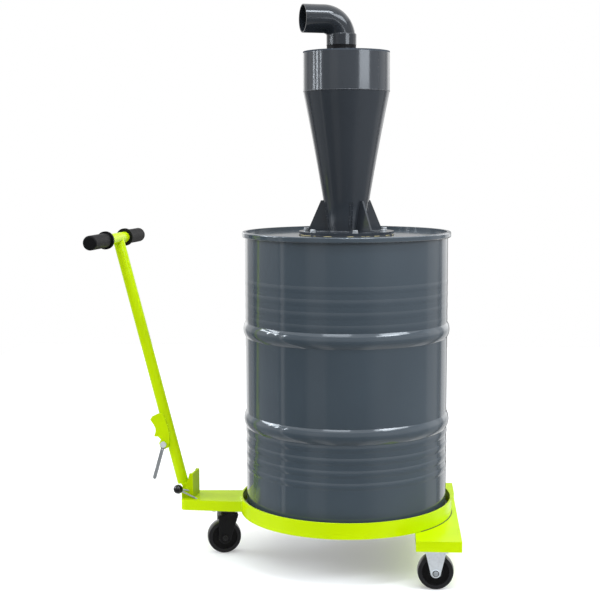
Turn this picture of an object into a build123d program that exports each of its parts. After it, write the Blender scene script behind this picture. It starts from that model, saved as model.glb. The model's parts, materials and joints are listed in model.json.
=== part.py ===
"""Mobile cyclone separator: a drum on a wheeled dolly with a dust cyclone bolted to its lid."""

import os
from math import cos, radians, sin

from build123d import *

# Fits
WELD_GAP = 0.2
RUN_FIT = 0.05
MOVE_GAP = 5.0

# Ground wheels
WHEEL_RADIUS = 49.0
WHEEL_WIDTH = 34.0
WHEEL_CROWN = 2.0
HUB_RADIUS = 20.0
DISH_RADIUS = 36.0
DISH_DEPTH = 6.0
AXLE_RADIUS = 5.0
AXLE_HEAD_RADIUS = 9.0
AXLE_HEAD_HEIGHT = 5.0
FORK_SHEET = 2.5
FORK_TOP_WIDTH = 54.0
FORK_END_RADIUS = 14.0
FORK_RIB_WIDTH = 22.0
FORK_RIB_STAND = 1.5
FORK_INSIDE = WHEEL_WIDTH + 2 * MOVE_GAP
FORK_OUTSIDE = FORK_INSIDE + 2 * FORK_SHEET
CASTER_PLATE_LENGTH = 66.0
CASTER_PLATE_WIDTH = FORK_OUTSIDE
CASTER_PLATE_SHEET = 3.0

# Drum
DRUM_RADIUS = 286.5
DRUM_HEIGHT = 802.0
DRUM_SHEET = 1.5
CHIME_STAND = 8.5
CHIME_HEIGHT = 15.0
CHIME_ROLL = 3.0
CHIME_RADIUS = DRUM_RADIUS + CHIME_STAND
HEAD_RECESS = 10.0
HOOP_STAND = 6.5
HOOP_HALF = 21.0
HOOP_UP = 270.0
HOOP_SPACING = 256.5
BEAD_COUNT = 4
BEAD_PITCH = 34.0
BEAD_HALF = 10.0
BEAD_FLAT = 2.0
LOWER_BEAD_STAND = 1.3
UPPER_BEAD_STAND = 0.5

# Cross-beam with the fixed wheels
BEAM_INSET = 46.8
BEAM_WIDTH = 122.0
BEAM_HEIGHT = 29.0
BEAM_WALL = 4.0
OUTRIGGER_LENGTH = 114.0
OUTRIGGER_SHIFT = 3.0
OUTRIGGER_HEIGHT = 25.0
CASTER_SHIFT = 8.2
BEAM_BOTTOM = 2 * WHEEL_RADIUS + MOVE_GAP + CASTER_PLATE_SHEET

# Dolly ring and floor
RING_PLAY = 4.0
RING_SHEET = 5.0
RING_HEIGHT = 44.0
RING_RADIUS = CHIME_RADIUS + RING_PLAY + RING_SHEET
RING_BOTTOM = BEAM_BOTTOM + BEAM_HEIGHT
FLOOR_SHEET = 3.0
SEAM_WIDTH = 3.0
SEAM_DEPTH = 2.0
SEAM_LAP = 1.0
BEAM_CENTRE = RING_RADIUS - BEAM_INSET
BEAM_END = RING_RADIUS
BEAM_JOINT = RING_RADIUS - OUTRIGGER_LENGTH
WHEEL_LINE = BEAM_END - FORK_OUTSIDE / 2

# Tongue with the swivel caster
TONGUE_REACH = 171.0
TONGUE_LIFT = 2.0
TONGUE_HEIGHT = 30.0
TONGUE_ROOT_WIDTH = 128.0
TONGUE_TIP_WIDTH = 108.0
TONGUE_ROOT = 85.0
TONGUE_WALL = 4.0
TONGUE_CORNER = 14.0
TONGUE_END = RING_RADIUS + TONGUE_REACH
TONGUE_BOTTOM = RING_BOTTOM + TONGUE_LIFT
TONGUE_TOP = TONGUE_BOTTOM + TONGUE_HEIGHT
SWIVEL_OUT = 38.0
SWIVEL_TRAIL = 15.0
SWIVEL_TURN = 14.0
SWIVEL_END_RADIUS = 18.0
SWIVEL_PLATE_OUT = 50.0
SWIVEL_PLATE_IN = 35.0
SWIVEL_PLATE_WIDTH = 80.0
SWIVEL_X = RING_RADIUS + SWIVEL_OUT
RACE_RADIUS = 23.0
RACE_HEIGHT = 6.0
CROWN_TOP = TONGUE_BOTTOM - CASTER_PLATE_SHEET - RACE_HEIGHT - MOVE_GAP
CROWN_HEIGHT = 9.0
CROWN_RADIUS = 24.0
KINGPIN_RADIUS = 6.0
KINGPIN_HEAD_RADIUS = 11.0
KINGPIN_HEAD_HEIGHT = 5.0

# Levels of the drum
DRUM_BOTTOM = RING_BOTTOM + FLOOR_SHEET
DRUM_TOP = DRUM_BOTTOM + DRUM_HEIGHT
LOWER_HOOP = DRUM_BOTTOM + HOOP_UP
UPPER_HOOP = LOWER_HOOP + HOOP_SPACING
HEAD_TOP = DRUM_TOP - HEAD_RECESS

# Cyclone
GASKET_SHEET = 3.0
FLANGE_RADIUS = 134.5
FLANGE_SHEET = 8.0
FLANGE_BOTTOM = HEAD_TOP + GASKET_SHEET
FLANGE_TOP = FLANGE_BOTTOM + FLANGE_SHEET
CONE_SHEET = 3.0
CONE_HEIGHT = 390.0
CONE_FOOT_RADIUS = 51.0
CONE_BOW = 2.4
BARREL_RADIUS = 121.0
BARREL_HEIGHT = 109.0
BARREL_BOTTOM = FLANGE_TOP + CONE_HEIGHT
BARREL_TOP = BARREL_BOTTOM + BARREL_HEIGHT
CONE_MID_RADIUS = (CONE_FOOT_RADIUS + BARREL_RADIUS) / 2 - CONE_BOW
CONE_MID_HEIGHT = FLANGE_TOP + CONE_HEIGHT / 2
ROOF_SHEET = 4.0
DUST_HOLE_RADIUS = CONE_FOOT_RADIUS - CONE_SHEET
GUSSET_SHEET = 6.0
GUSSET_HEIGHT = 86.0
GUSSET_REACH = 108.0
GUSSET_TIP = 4.0
GUSSET_TOP_REACH = 72.0
GUSSET_TURNS = (-95.0, 42.0, 114.0, 195.0)

# Air pipes
PIPE_RADIUS = 39.0
PIPE_WALL = 3.0
OUTLET_SHIFT = 14.0
OUTLET_DROP = 130.0
ELBOW_BEND = 52.0
ELBOW_REACH = 112.0
ELBOW_TURN = 20.0
SEAL_STAND = 8.0
SEAL_HEIGHT = 10.0
SEAL_STEP = 2.0
SOCKET_STEP = 3.0
SOCKET_HEIGHT = 31.0
SOCKET_SHOULDER = 12.0
SOCKET_ROUND = 2.5
SOCKET_RADIUS = PIPE_RADIUS + SOCKET_STEP
SEAL_RADIUS = PIPE_RADIUS + SEAL_STEP
SEAL_BOTTOM = BARREL_TOP + SEAL_STAND
SOCKET_BOTTOM = SEAL_BOTTOM + SEAL_HEIGHT
SOCKET_TOP = SOCKET_BOTTOM + SOCKET_HEIGHT
ELBOW_FOOT = SOCKET_TOP - SOCKET_SHOULDER
ELBOW_HEIGHT = ELBOW_FOOT + ELBOW_BEND
INLET_HEIGHT = BARREL_BOTTOM + BARREL_HEIGHT / 2
INLET_REACH = 190.0
SPIGOT_LENGTH = 60.0
HOSE_STOP_STAND = 2.0
HOSE_STOP_WIDTH = 6.0

# Drawbar
PIVOT_INSET = 18.0
PIVOT_UP = 24.0
PIVOT_X = TONGUE_END - PIVOT_INSET
PIVOT_HEIGHT = TONGUE_TOP + PIVOT_UP
DRAWBAR_YAW = 8.5
DRAWBAR_LEAN = 14.7
DRAWBAR_LENGTH = 755.0
DRAWBAR_SHIFT = 16.1
DRAWBAR_RADIUS = 16.0
DRAWBAR_WALL = 2.5
EYE_RADIUS = 9.5
EYE_LENGTH = 40.0
EYE_TOP = 18.0
PIVOT_RADIUS = 5.0
PIVOT_HEAD_RADIUS = 8.0
PIVOT_HEAD_HEIGHT = 4.0
TEE_RADIUS = 16.0
TEE_WALL = 2.5
TEE_HALF = 192.0
TEE_SHIFT = 22.0
GRIP_RADIUS = 20.5
GRIP_LENGTH = 124.0
GRIP_CAP = 5.0
GRIP_ROUND = 5.0
COLLAR_RADIUS = 25.5
COLLAR_LENGTH = 8.0

# Drawbar bracket
BRACKET_INSIDE = EYE_LENGTH + 3 * MOVE_GAP
BRACKET_SHEET = 5.0
BRACKET_BACK = EYE_RADIUS + MOVE_GAP + BRACKET_SHEET
BRACKET_HEIGHT = 49.0
BRACKET_LIP = 5.0
LOBE_RADIUS = 15.0

# Latch on the drawbar
LATCH_SHEET = 5.0
LATCH_OUTLINE = ((0.0, 231.0), (13.5, 234.0), (32.0, 230.0), (41.5, 221.5), (35.0, 206.0), (32.5, 194.0),
                 (34.5, 184.0), (43.0, 171.0), (31.0, 168.0), (25.0, 158.0), (33.0, 149.0), (33.0, 136.0),
                 (24.0, 127.5), (10.0, 130.0), (0.0, 150.0), (-4.0, 170.0), (-5.0, 192.0), (-3.0, 214.0))
LATCH_ROUND = 2.5
LATCH_PIN_OUT = 19.5
LATCH_PIN_UP = 142.5
LATCH_PIN_RADIUS = 4.0
LATCH_PIN_HEAD = 9.0
LATCH_PIN_TAIL = 7.0
LATCH_PIN_HEAD_HEIGHT = 3.0
LEVER_SHEET = 3.0
LEVER_WIDTH = 10.0
LEVER_LENGTH = 103.0
LEVER_EYE = 6.7
LEVER_HOLE = 1.5
LEVER_HOLE_DOWN = 16.0
LEVER_SWING = 31.0
LEVER_GAP = 1.0

# Lock at the bracket
KNOB_RADIUS = 13.5
KNOB_OUT = 18.6
KNOB_UP = 6.0
KNOB_STAND = 20.0
PRONG_RADIUS = 2.5
PRONG_SINK = 3.0
SHORT_PRONG_BACK = 5.0
LONG_PRONG_BACK = 29.0
LONG_PRONG_ASIDE = 34.0

# Derived directions of the drawbar
LEAN_SIN = sin(radians(DRAWBAR_LEAN))
LEAN_COS = cos(radians(DRAWBAR_LEAN))
YAW_SIN = sin(radians(DRAWBAR_YAW))
YAW_COS = cos(radians(DRAWBAR_YAW))

# Drum axis, set so that the origin is the middle of the whole length
TEE_OUT = LEAN_SIN * DRAWBAR_LENGTH + LEAN_COS * DRAWBAR_SHIFT
GRIP_HALF = TEE_HALF + GRIP_CAP
NEAR_GRIP_END = GRIP_HALF + TEE_SHIFT
REAR_REACH = PIVOT_X + YAW_COS * TEE_OUT + YAW_SIN * NEAR_GRIP_END + YAW_COS * GRIP_RADIUS
FRONT_REACH = BEAM_CENTRE + OUTRIGGER_SHIFT + BEAM_WIDTH / 2
DRUM_X = (REAR_REACH - FRONT_REACH) / 2

# Placement planes
OUTWARD = Vector(-YAW_COS, YAW_SIN, 0)
HINGE = Vector(YAW_SIN, YAW_COS, 0)
PIVOT = Vector(DRUM_X - PIVOT_X, 0, PIVOT_HEIGHT)
POST = Plane(origin=PIVOT, x_dir=OUTWARD, z_dir=HINGE)
LEAN_DOWN = OUTWARD * LEAN_COS - Vector(0, 0, LEAN_SIN)
LEAN = Plane(origin=PIVOT, x_dir=LEAN_DOWN, z_dir=HINGE)
LEAN_UP = LEAN.y_dir
TUBE = PIVOT + LEAN_DOWN * DRAWBAR_SHIFT
TUBE_SIDE = Plane(origin=TUBE, x_dir=LEAN_DOWN, z_dir=HINGE)
UPRIGHT = Plane.XZ.location
DRUM = Pos(DRUM_X, 0, 0)
AXIS = Plane(DRUM)
PROFILE = Plane(DRUM * UPRIGHT)
SPIN = Axis((DRUM_X, 0, 0), (0, 0, 1))
SWIVEL_AXIS = Pos(DRUM_X - SWIVEL_X, 0, 0) * Rot(0, 0, SWIVEL_TURN)
SWIVEL = Plane(SWIVEL_AXIS)
SWIVEL_WHEEL = SWIVEL_AXIS * Pos(-SWIVEL_TRAIL, 0, WHEEL_RADIUS)
CASTER_X = DRUM_X + BEAM_CENTRE - CASTER_SHIFT
NEAR_WHEEL = Pos(CASTER_X, -WHEEL_LINE, WHEEL_RADIUS)
FAR_WHEEL = Pos(CASTER_X, WHEEL_LINE, WHEEL_RADIUS)
OUTLET = Pos(DRUM_X - OUTLET_SHIFT, 0, 0) * Rot(0, 0, ELBOW_TURN)

QUARTER = 90

os.makedirs("parts", exist_ok=True)

# Drum shell: hoops and beads rolled outwards into one thin sheet
SHELL_TOP = DRUM_TOP - CHIME_ROLL
SHELL_BOTTOM = DRUM_BOTTOM + CHIME_ROLL
BEAD_FIRST = HOOP_HALF + BEAD_FLAT + BEAD_HALF
BUMPS = [(LOWER_HOOP, HOOP_HALF, HOOP_STAND), (UPPER_HOOP, HOOP_HALF, HOOP_STAND)]
for bead in range(BEAD_COUNT):
    bead_away = BEAD_FIRST + bead * BEAD_PITCH
    BUMPS.append((LOWER_HOOP - bead_away, BEAD_HALF, LOWER_BEAD_STAND))
    BUMPS.append((UPPER_HOOP + bead_away, BEAD_HALF, UPPER_BEAD_STAND))
BUMPS.sort()

with BuildPart() as drum_shell:
    with BuildSketch(PROFILE):
        with BuildLine():
            for wall in (DRUM_RADIUS, DRUM_RADIUS - DRUM_SHEET):
                height = SHELL_BOTTOM
                for level, half, rise in BUMPS:
                    Line((wall, height), (wall, level - half))
                    ThreePointArc((wall, level - half), (wall + rise, level), (wall, level + half))
                    height = level + half
                Line((wall, height), (wall, SHELL_TOP))
            Line((DRUM_RADIUS, SHELL_BOTTOM), (DRUM_RADIUS - DRUM_SHEET, SHELL_BOTTOM))
            Line((DRUM_RADIUS, SHELL_TOP), (DRUM_RADIUS - DRUM_SHEET, SHELL_TOP))
        make_face()
    revolve(axis=SPIN)
drum_shell.part.label = "drum_shell"
export_step(drum_shell.part, "parts/drum_shell.step")

# Drum heads: recessed disc, skirt and chime rolled over the shell's edge
SKIRT_RADIUS = DRUM_RADIUS - DRUM_SHEET - WELD_GAP
SKIRT_INSIDE = SKIRT_RADIUS - DRUM_SHEET

with BuildPart() as drum_top_head:
    with BuildSketch(PROFILE):
        with BuildLine():
            Polyline(
                (DUST_HOLE_RADIUS, HEAD_TOP - DRUM_SHEET),
                (SKIRT_RADIUS, HEAD_TOP - DRUM_SHEET),
                (SKIRT_RADIUS, SHELL_TOP),
                (DRUM_RADIUS + WELD_GAP, SHELL_TOP),
                (DRUM_RADIUS + WELD_GAP, DRUM_TOP - CHIME_HEIGHT),
                (CHIME_RADIUS, DRUM_TOP - CHIME_HEIGHT),
                (CHIME_RADIUS, DRUM_TOP),
                (SKIRT_INSIDE, DRUM_TOP),
                (SKIRT_INSIDE, HEAD_TOP),
                (DUST_HOLE_RADIUS, HEAD_TOP),
                close=True,
            )
        make_face()
    revolve(axis=SPIN)
    rolled = drum_top_head.edges().filter_by(GeomType.CIRCLE).filter_by(
        lambda edge: edge.radius > DRUM_RADIUS + CHIME_ROLL
    )
    fillet(rolled, CHIME_ROLL)
drum_top_head.part.label = "drum_top_head"
export_step(drum_top_head.part, "parts/drum_top_head.step")

with BuildPart() as drum_bottom_head:
    with BuildSketch(PROFILE):
        with BuildLine():
            Polyline(
                (0, DRUM_BOTTOM + HEAD_RECESS),
                (SKIRT_INSIDE, DRUM_BOTTOM + HEAD_RECESS),
                (SKIRT_INSIDE, DRUM_BOTTOM),
                (CHIME_RADIUS, DRUM_BOTTOM),
                (CHIME_RADIUS, DRUM_BOTTOM + CHIME_HEIGHT),
                (DRUM_RADIUS + WELD_GAP, DRUM_BOTTOM + CHIME_HEIGHT),
                (DRUM_RADIUS + WELD_GAP, SHELL_BOTTOM),
                (SKIRT_RADIUS, SHELL_BOTTOM),
                (SKIRT_RADIUS, DRUM_BOTTOM + HEAD_RECESS + DRUM_SHEET),
                (0, DRUM_BOTTOM + HEAD_RECESS + DRUM_SHEET),
                close=True,
            )
        make_face()
    revolve(axis=SPIN)
    rolled = drum_bottom_head.edges().filter_by(GeomType.CIRCLE).filter_by(
        lambda edge: edge.radius > DRUM_RADIUS + CHIME_ROLL
    )
    fillet(rolled, CHIME_ROLL)
drum_bottom_head.part.label = "drum_bottom_head"
export_step(drum_bottom_head.part, "parts/drum_bottom_head.step")

# Gasket and bottom flange of the cyclone
with BuildPart() as flange_gasket:
    with BuildSketch(AXIS.offset(HEAD_TOP)):
        Circle(FLANGE_RADIUS)
        Circle(DUST_HOLE_RADIUS, mode=Mode.SUBTRACT)
    extrude(amount=GASKET_SHEET)
flange_gasket.part.label = "flange_gasket"
export_step(flange_gasket.part, "parts/flange_gasket.step")

with BuildPart() as cyclone_flange:
    with BuildSketch(AXIS.offset(FLANGE_BOTTOM)):
        Circle(FLANGE_RADIUS)
        Circle(DUST_HOLE_RADIUS, mode=Mode.SUBTRACT)
    extrude(amount=FLANGE_SHEET)
cyclone_flange.part.label = "cyclone_flange"
export_step(cyclone_flange.part, "parts/cyclone_flange.step")

# Cone: its side bows in slightly between the barrel and the flange
with BuildPart() as cyclone_cone:
    with BuildSketch(PROFILE):
        with BuildLine():
            for wall in (0, CONE_SHEET):
                ThreePointArc(
                    (CONE_FOOT_RADIUS - wall, FLANGE_TOP),
                    (CONE_MID_RADIUS - wall, CONE_MID_HEIGHT),
                    (BARREL_RADIUS - wall, BARREL_BOTTOM),
                )
            Line((CONE_FOOT_RADIUS, FLANGE_TOP), (CONE_FOOT_RADIUS - CONE_SHEET, FLANGE_TOP))
            Line((BARREL_RADIUS, BARREL_BOTTOM), (BARREL_RADIUS - CONE_SHEET, BARREL_BOTTOM))
        make_face()
    revolve(axis=SPIN)
cyclone_cone.part.label = "cyclone_cone"
export_step(cyclone_cone.part, "parts/cyclone_cone.step")

# Gussets stand on the flange and follow the cone
with BuildPart() as cone_envelope:
    with BuildSketch(PROFILE):
        with BuildLine():
            ThreePointArc(
                (CONE_FOOT_RADIUS + WELD_GAP, FLANGE_TOP),
                (CONE_MID_RADIUS + WELD_GAP, CONE_MID_HEIGHT),
                (BARREL_RADIUS + WELD_GAP, BARREL_BOTTOM),
            )
            Polyline(
                (BARREL_RADIUS + WELD_GAP, BARREL_BOTTOM),
                (0, BARREL_BOTTOM),
                (0, FLANGE_TOP),
                (CONE_FOOT_RADIUS + WELD_GAP, FLANGE_TOP),
            )
        make_face()
    revolve(axis=SPIN)

with BuildPart() as cyclone_gussets:
    for turn in GUSSET_TURNS:
        with BuildSketch(Plane(DRUM * Rot(0, 0, turn - QUARTER) * UPRIGHT)):
            with BuildLine():
                Polyline(
                    (CONE_FOOT_RADIUS / 2, FLANGE_TOP),
                    (GUSSET_REACH, FLANGE_TOP),
                    (GUSSET_REACH, FLANGE_TOP + GUSSET_TIP),
                    (GUSSET_TOP_REACH, FLANGE_TOP + GUSSET_HEIGHT),
                    (CONE_FOOT_RADIUS / 2, FLANGE_TOP + GUSSET_HEIGHT),
                    close=True,
                )
            make_face()
        extrude(amount=GUSSET_SHEET / 2, both=True)
    add(cone_envelope.part, mode=Mode.SUBTRACT)
cyclone_gussets.part.label = "cyclone_gussets"
export_step(cyclone_gussets.part, "parts/cyclone_gussets.step")

# Inlet stub: enters the barrel along a tangent on the side away from the drawbar
INLET_X = DRUM_X + BARREL_RADIUS - CONE_SHEET - PIPE_RADIUS
INLET_PLANE = Plane(Pos(INLET_X, 0, 0) * UPRIGHT)

with BuildPart() as cyclone_barrel:
    with BuildSketch(AXIS.offset(BARREL_BOTTOM)):
        Circle(BARREL_RADIUS)
        Circle(BARREL_RADIUS - CONE_SHEET, mode=Mode.SUBTRACT)
    extrude(amount=BARREL_HEIGHT - ROOF_SHEET)
    with BuildSketch(INLET_PLANE):
        with Locations((0, INLET_HEIGHT)):
            Circle(PIPE_RADIUS - PIPE_WALL)
    extrude(amount=-INLET_REACH, mode=Mode.SUBTRACT)
cyclone_barrel.part.label = "cyclone_barrel"
export_step(cyclone_barrel.part, "parts/cyclone_barrel.step")

with BuildPart() as inlet_pipe:
    with BuildSketch(INLET_PLANE):
        with Locations((0, INLET_HEIGHT)):
            Circle(PIPE_RADIUS)
            Circle(PIPE_RADIUS - PIPE_WALL, mode=Mode.SUBTRACT)
    extrude(amount=-INLET_REACH)
    with BuildSketch(INLET_PLANE.offset(SPIGOT_LENGTH - INLET_REACH)):
        with Locations((0, INLET_HEIGHT)):
            Circle(PIPE_RADIUS + HOSE_STOP_STAND)
            Circle(PIPE_RADIUS - PIPE_WALL, mode=Mode.SUBTRACT)
    extrude(amount=HOSE_STOP_WIDTH)
    with BuildSketch(AXIS.offset(BARREL_BOTTOM)):
        Circle(BARREL_RADIUS + WELD_GAP)
    extrude(amount=BARREL_HEIGHT, mode=Mode.SUBTRACT)
inlet_pipe.part.label = "inlet_pipe"
export_step(inlet_pipe.part, "parts/inlet_pipe.step")

# Roof and the outlet tube that hangs through it
with BuildPart() as cyclone_roof:
    with BuildSketch(AXIS.offset(BARREL_TOP - ROOF_SHEET)):
        Circle(BARREL_RADIUS)
        with Locations((-OUTLET_SHIFT, 0)):
            Circle(PIPE_RADIUS + WELD_GAP, mode=Mode.SUBTRACT)
    extrude(amount=ROOF_SHEET)
cyclone_roof.part.label = "cyclone_roof"
export_step(cyclone_roof.part, "parts/cyclone_roof.step")

with BuildPart() as outlet_tube:
    with BuildSketch(AXIS.offset(BARREL_TOP - OUTLET_DROP)):
        with Locations((-OUTLET_SHIFT, 0)):
            Circle(PIPE_RADIUS)
            Circle(PIPE_RADIUS - PIPE_WALL, mode=Mode.SUBTRACT)
    extrude(amount=ELBOW_FOOT - BARREL_TOP + OUTLET_DROP)
outlet_tube.part.label = "outlet_tube"
export_step(outlet_tube.part, "parts/outlet_tube.step")

# Elbow: pipe turned round the bend, a straight mouth, and a socket that slips over the outlet tube
BEND = Plane(OUTLET * Pos(-ELBOW_BEND, 0, ELBOW_FOOT))
BEND_AXIS = Axis(BEND.origin, -BEND.y_dir)
MOUTH = Plane(origin=BEND.origin + BEND.z_dir * ELBOW_BEND, x_dir=BEND.y_dir, z_dir=-BEND.x_dir)

with BuildPart() as outlet_elbow:
    with BuildSketch(Plane(OUTLET).offset(SOCKET_BOTTOM)):
        Circle(SOCKET_RADIUS)
    extrude(amount=SOCKET_HEIGHT)
    fillet(outlet_elbow.edges().sort_by(Axis.Z)[-1], SOCKET_ROUND)
    with BuildSketch(Plane(OUTLET).offset(ELBOW_FOOT)):
        Circle(PIPE_RADIUS)
    revolve(axis=BEND_AXIS, revolution_arc=QUARTER)
    with BuildSketch(MOUTH):
        Circle(PIPE_RADIUS)
    extrude(amount=ELBOW_REACH - ELBOW_BEND)
    with BuildSketch(Plane(OUTLET).offset(SOCKET_BOTTOM)):
        Circle(PIPE_RADIUS + WELD_GAP)
    extrude(amount=ELBOW_FOOT - SOCKET_BOTTOM, mode=Mode.SUBTRACT)
    with BuildSketch(Plane(OUTLET).offset(ELBOW_FOOT)):
        Circle(PIPE_RADIUS - PIPE_WALL)
    revolve(axis=BEND_AXIS, revolution_arc=QUARTER, mode=Mode.SUBTRACT)
    with BuildSketch(MOUTH):
        Circle(PIPE_RADIUS - PIPE_WALL)
    extrude(amount=ELBOW_REACH - ELBOW_BEND, mode=Mode.SUBTRACT)
outlet_elbow.part.label = "outlet_elbow"
export_step(outlet_elbow.part, "parts/outlet_elbow.step")

with BuildPart() as elbow_seal:
    with BuildSketch(Plane(OUTLET).offset(SEAL_BOTTOM)):
        Circle(SEAL_RADIUS)
        Circle(PIPE_RADIUS + WELD_GAP, mode=Mode.SUBTRACT)
    extrude(amount=SEAL_HEIGHT)
elbow_seal.part.label = "elbow_seal"
export_step(elbow_seal.part, "parts/elbow_seal.step")

# Dolly ring and floor
with BuildPart() as dolly_ring:
    with BuildSketch(AXIS.offset(RING_BOTTOM)):
        Circle(RING_RADIUS)
        Circle(RING_RADIUS - RING_SHEET, mode=Mode.SUBTRACT)
    extrude(amount=RING_HEIGHT)
dolly_ring.part.label = "dolly_ring"
export_step(dolly_ring.part, "parts/dolly_ring.step")

with BuildPart() as dolly_floor:
    with BuildSketch(AXIS.offset(RING_BOTTOM)):
        Circle(RING_RADIUS - RING_SHEET - WELD_GAP)
    extrude(amount=FLOOR_SHEET)
dolly_floor.part.label = "dolly_floor"
export_step(dolly_floor.part, "parts/dolly_floor.step")

# Cross-beam: box section, closed at the end that shows
BEAM_X = DRUM_X + BEAM_CENTRE
BEAM_LENGTH = BEAM_END + BEAM_JOINT

with BuildPart() as cross_beam:
    with BuildSketch(Plane(Pos(BEAM_X, -BEAM_END, RING_BOTTOM - BEAM_HEIGHT / 2) * UPRIGHT)):
        Rectangle(BEAM_WIDTH, BEAM_HEIGHT)
    extrude(amount=-BEAM_LENGTH)
    with BuildSketch(Plane(Pos(BEAM_X, BEAM_WALL - BEAM_END, RING_BOTTOM - BEAM_HEIGHT / 2) * UPRIGHT)):
        Rectangle(BEAM_WIDTH - 2 * BEAM_WALL, BEAM_HEIGHT - 2 * BEAM_WALL)
    extrude(amount=-BEAM_LENGTH, mode=Mode.SUBTRACT)
    with BuildSketch(AXIS.offset(RING_BOTTOM)):
        Circle(RING_RADIUS - SEAM_LAP + SEAM_WIDTH)
        Circle(RING_RADIUS - SEAM_LAP, mode=Mode.SUBTRACT)
    extrude(amount=-SEAM_DEPTH, mode=Mode.SUBTRACT)
cross_beam.part.label = "cross_beam"
export_step(cross_beam.part, "parts/cross_beam.step")

OUTRIGGER_X = BEAM_X + OUTRIGGER_SHIFT
OUTRIGGER_MIDDLE = RING_BOTTOM - OUTRIGGER_HEIGHT / 2

with BuildPart() as far_outrigger:
    with BuildSketch(Plane(Pos(OUTRIGGER_X, BEAM_END, OUTRIGGER_MIDDLE) * UPRIGHT)):
        Rectangle(BEAM_WIDTH, OUTRIGGER_HEIGHT)
    extrude(amount=OUTRIGGER_LENGTH)
    with BuildSketch(Plane(Pos(OUTRIGGER_X, BEAM_END, OUTRIGGER_MIDDLE) * UPRIGHT)):
        Rectangle(BEAM_WIDTH - 2 * BEAM_WALL, OUTRIGGER_HEIGHT - 2 * BEAM_WALL)
    extrude(amount=OUTRIGGER_LENGTH - BEAM_WALL, mode=Mode.SUBTRACT)
far_outrigger.part.label = "far_outrigger"
export_step(far_outrigger.part, "parts/far_outrigger.step")

# Tongue: tapered box section welded to the ring
with BuildPart() as dolly_tongue:
    with BuildSketch(AXIS.offset(TONGUE_BOTTOM)):
        with BuildLine():
            Polyline(
                (-TONGUE_END, -TONGUE_TIP_WIDTH / 2),
                (-RING_RADIUS + TONGUE_WALL, -TONGUE_ROOT_WIDTH / 2),
                (-RING_RADIUS + TONGUE_ROOT, -TONGUE_ROOT_WIDTH / 2),
                (-RING_RADIUS + TONGUE_ROOT, TONGUE_ROOT_WIDTH / 2),
                (-RING_RADIUS + TONGUE_WALL, TONGUE_ROOT_WIDTH / 2),
                (-TONGUE_END, TONGUE_TIP_WIDTH / 2),
                close=True,
            )
        make_face()
    extrude(amount=TONGUE_HEIGHT)
    corners = dolly_tongue.edges().filter_by(Axis.Z).sort_by(Axis.X)[:2]
    fillet(corners, TONGUE_CORNER)
    hollow = dolly_tongue.faces().sort_by(Axis.X)[-1]
    offset(amount=-TONGUE_WALL, openings=hollow)
    with BuildSketch(AXIS.offset(TONGUE_BOTTOM)):
        Circle(RING_RADIUS + WELD_GAP)
    extrude(amount=TONGUE_HEIGHT, mode=Mode.SUBTRACT)
dolly_tongue.part.label = "dolly_tongue"
export_step(dolly_tongue.part, "parts/dolly_tongue.step")

# Wheels: dished sides, rounded tread and a bored hub
WHEEL_PROFILE = (
    (AXLE_RADIUS + RUN_FIT, WHEEL_WIDTH / 2),
    (HUB_RADIUS, WHEEL_WIDTH / 2),
    (HUB_RADIUS, WHEEL_WIDTH / 2 - DISH_DEPTH),
    (DISH_RADIUS, WHEEL_WIDTH / 2 - DISH_DEPTH),
    (DISH_RADIUS, WHEEL_WIDTH / 2),
    (WHEEL_RADIUS - WHEEL_CROWN, WHEEL_WIDTH / 2),
)

with BuildPart() as wheel_blank:
    with BuildSketch(Plane.XZ):
        with BuildLine():
            Polyline(*WHEEL_PROFILE)
            Polyline(*((radius, -side) for radius, side in WHEEL_PROFILE))
            Line(WHEEL_PROFILE[0], (WHEEL_PROFILE[0][0], -WHEEL_PROFILE[0][1]))
            ThreePointArc(
                (WHEEL_RADIUS - WHEEL_CROWN, WHEEL_WIDTH / 2),
                (WHEEL_RADIUS, 0),
                (WHEEL_RADIUS - WHEEL_CROWN, -WHEEL_WIDTH / 2),
            )
        make_face()
    revolve(axis=Axis.Z)

AXLE_LENGTH = FORK_OUTSIDE + 2 * AXLE_HEAD_HEIGHT

with BuildPart() as axle_blank:
    with BuildSketch(Plane.XY.offset(-AXLE_LENGTH / 2)):
        Circle(AXLE_HEAD_RADIUS)
    extrude(amount=AXLE_HEAD_HEIGHT)
    with BuildSketch(Plane.XY.offset(-FORK_OUTSIDE / 2)):
        Circle(AXLE_RADIUS)
    extrude(amount=FORK_OUTSIDE)
    with BuildSketch(Plane.XY.offset(FORK_OUTSIDE / 2)):
        Circle(AXLE_HEAD_RADIUS)
    extrude(amount=AXLE_HEAD_HEIGHT)

LAY_DOWN = Rot(QUARTER, 0, 0)

with BuildPart() as near_wheel:
    add(wheel_blank.part.moved(NEAR_WHEEL * LAY_DOWN))
near_wheel.part.label = "near_wheel"
export_step(near_wheel.part, "parts/near_wheel.step")

with BuildPart() as far_wheel:
    add(wheel_blank.part.moved(FAR_WHEEL * LAY_DOWN))
far_wheel.part.label = "far_wheel"
export_step(far_wheel.part, "parts/far_wheel.step")

with BuildPart() as swivel_wheel:
    add(wheel_blank.part.moved(SWIVEL_WHEEL * LAY_DOWN))
swivel_wheel.part.label = "swivel_wheel"
export_step(swivel_wheel.part, "parts/swivel_wheel.step")

with BuildPart() as near_axle:
    add(axle_blank.part.moved(NEAR_WHEEL * LAY_DOWN))
near_axle.part.label = "near_axle"
export_step(near_axle.part, "parts/near_axle.step")

with BuildPart() as far_axle:
    add(axle_blank.part.moved(FAR_WHEEL * LAY_DOWN))
far_axle.part.label = "far_axle"
export_step(far_axle.part, "parts/far_axle.step")

with BuildPart() as swivel_axle:
    add(axle_blank.part.moved(SWIVEL_WHEEL * LAY_DOWN))
swivel_axle.part.label = "swivel_axle"
export_step(swivel_axle.part, "parts/swivel_axle.step")

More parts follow.
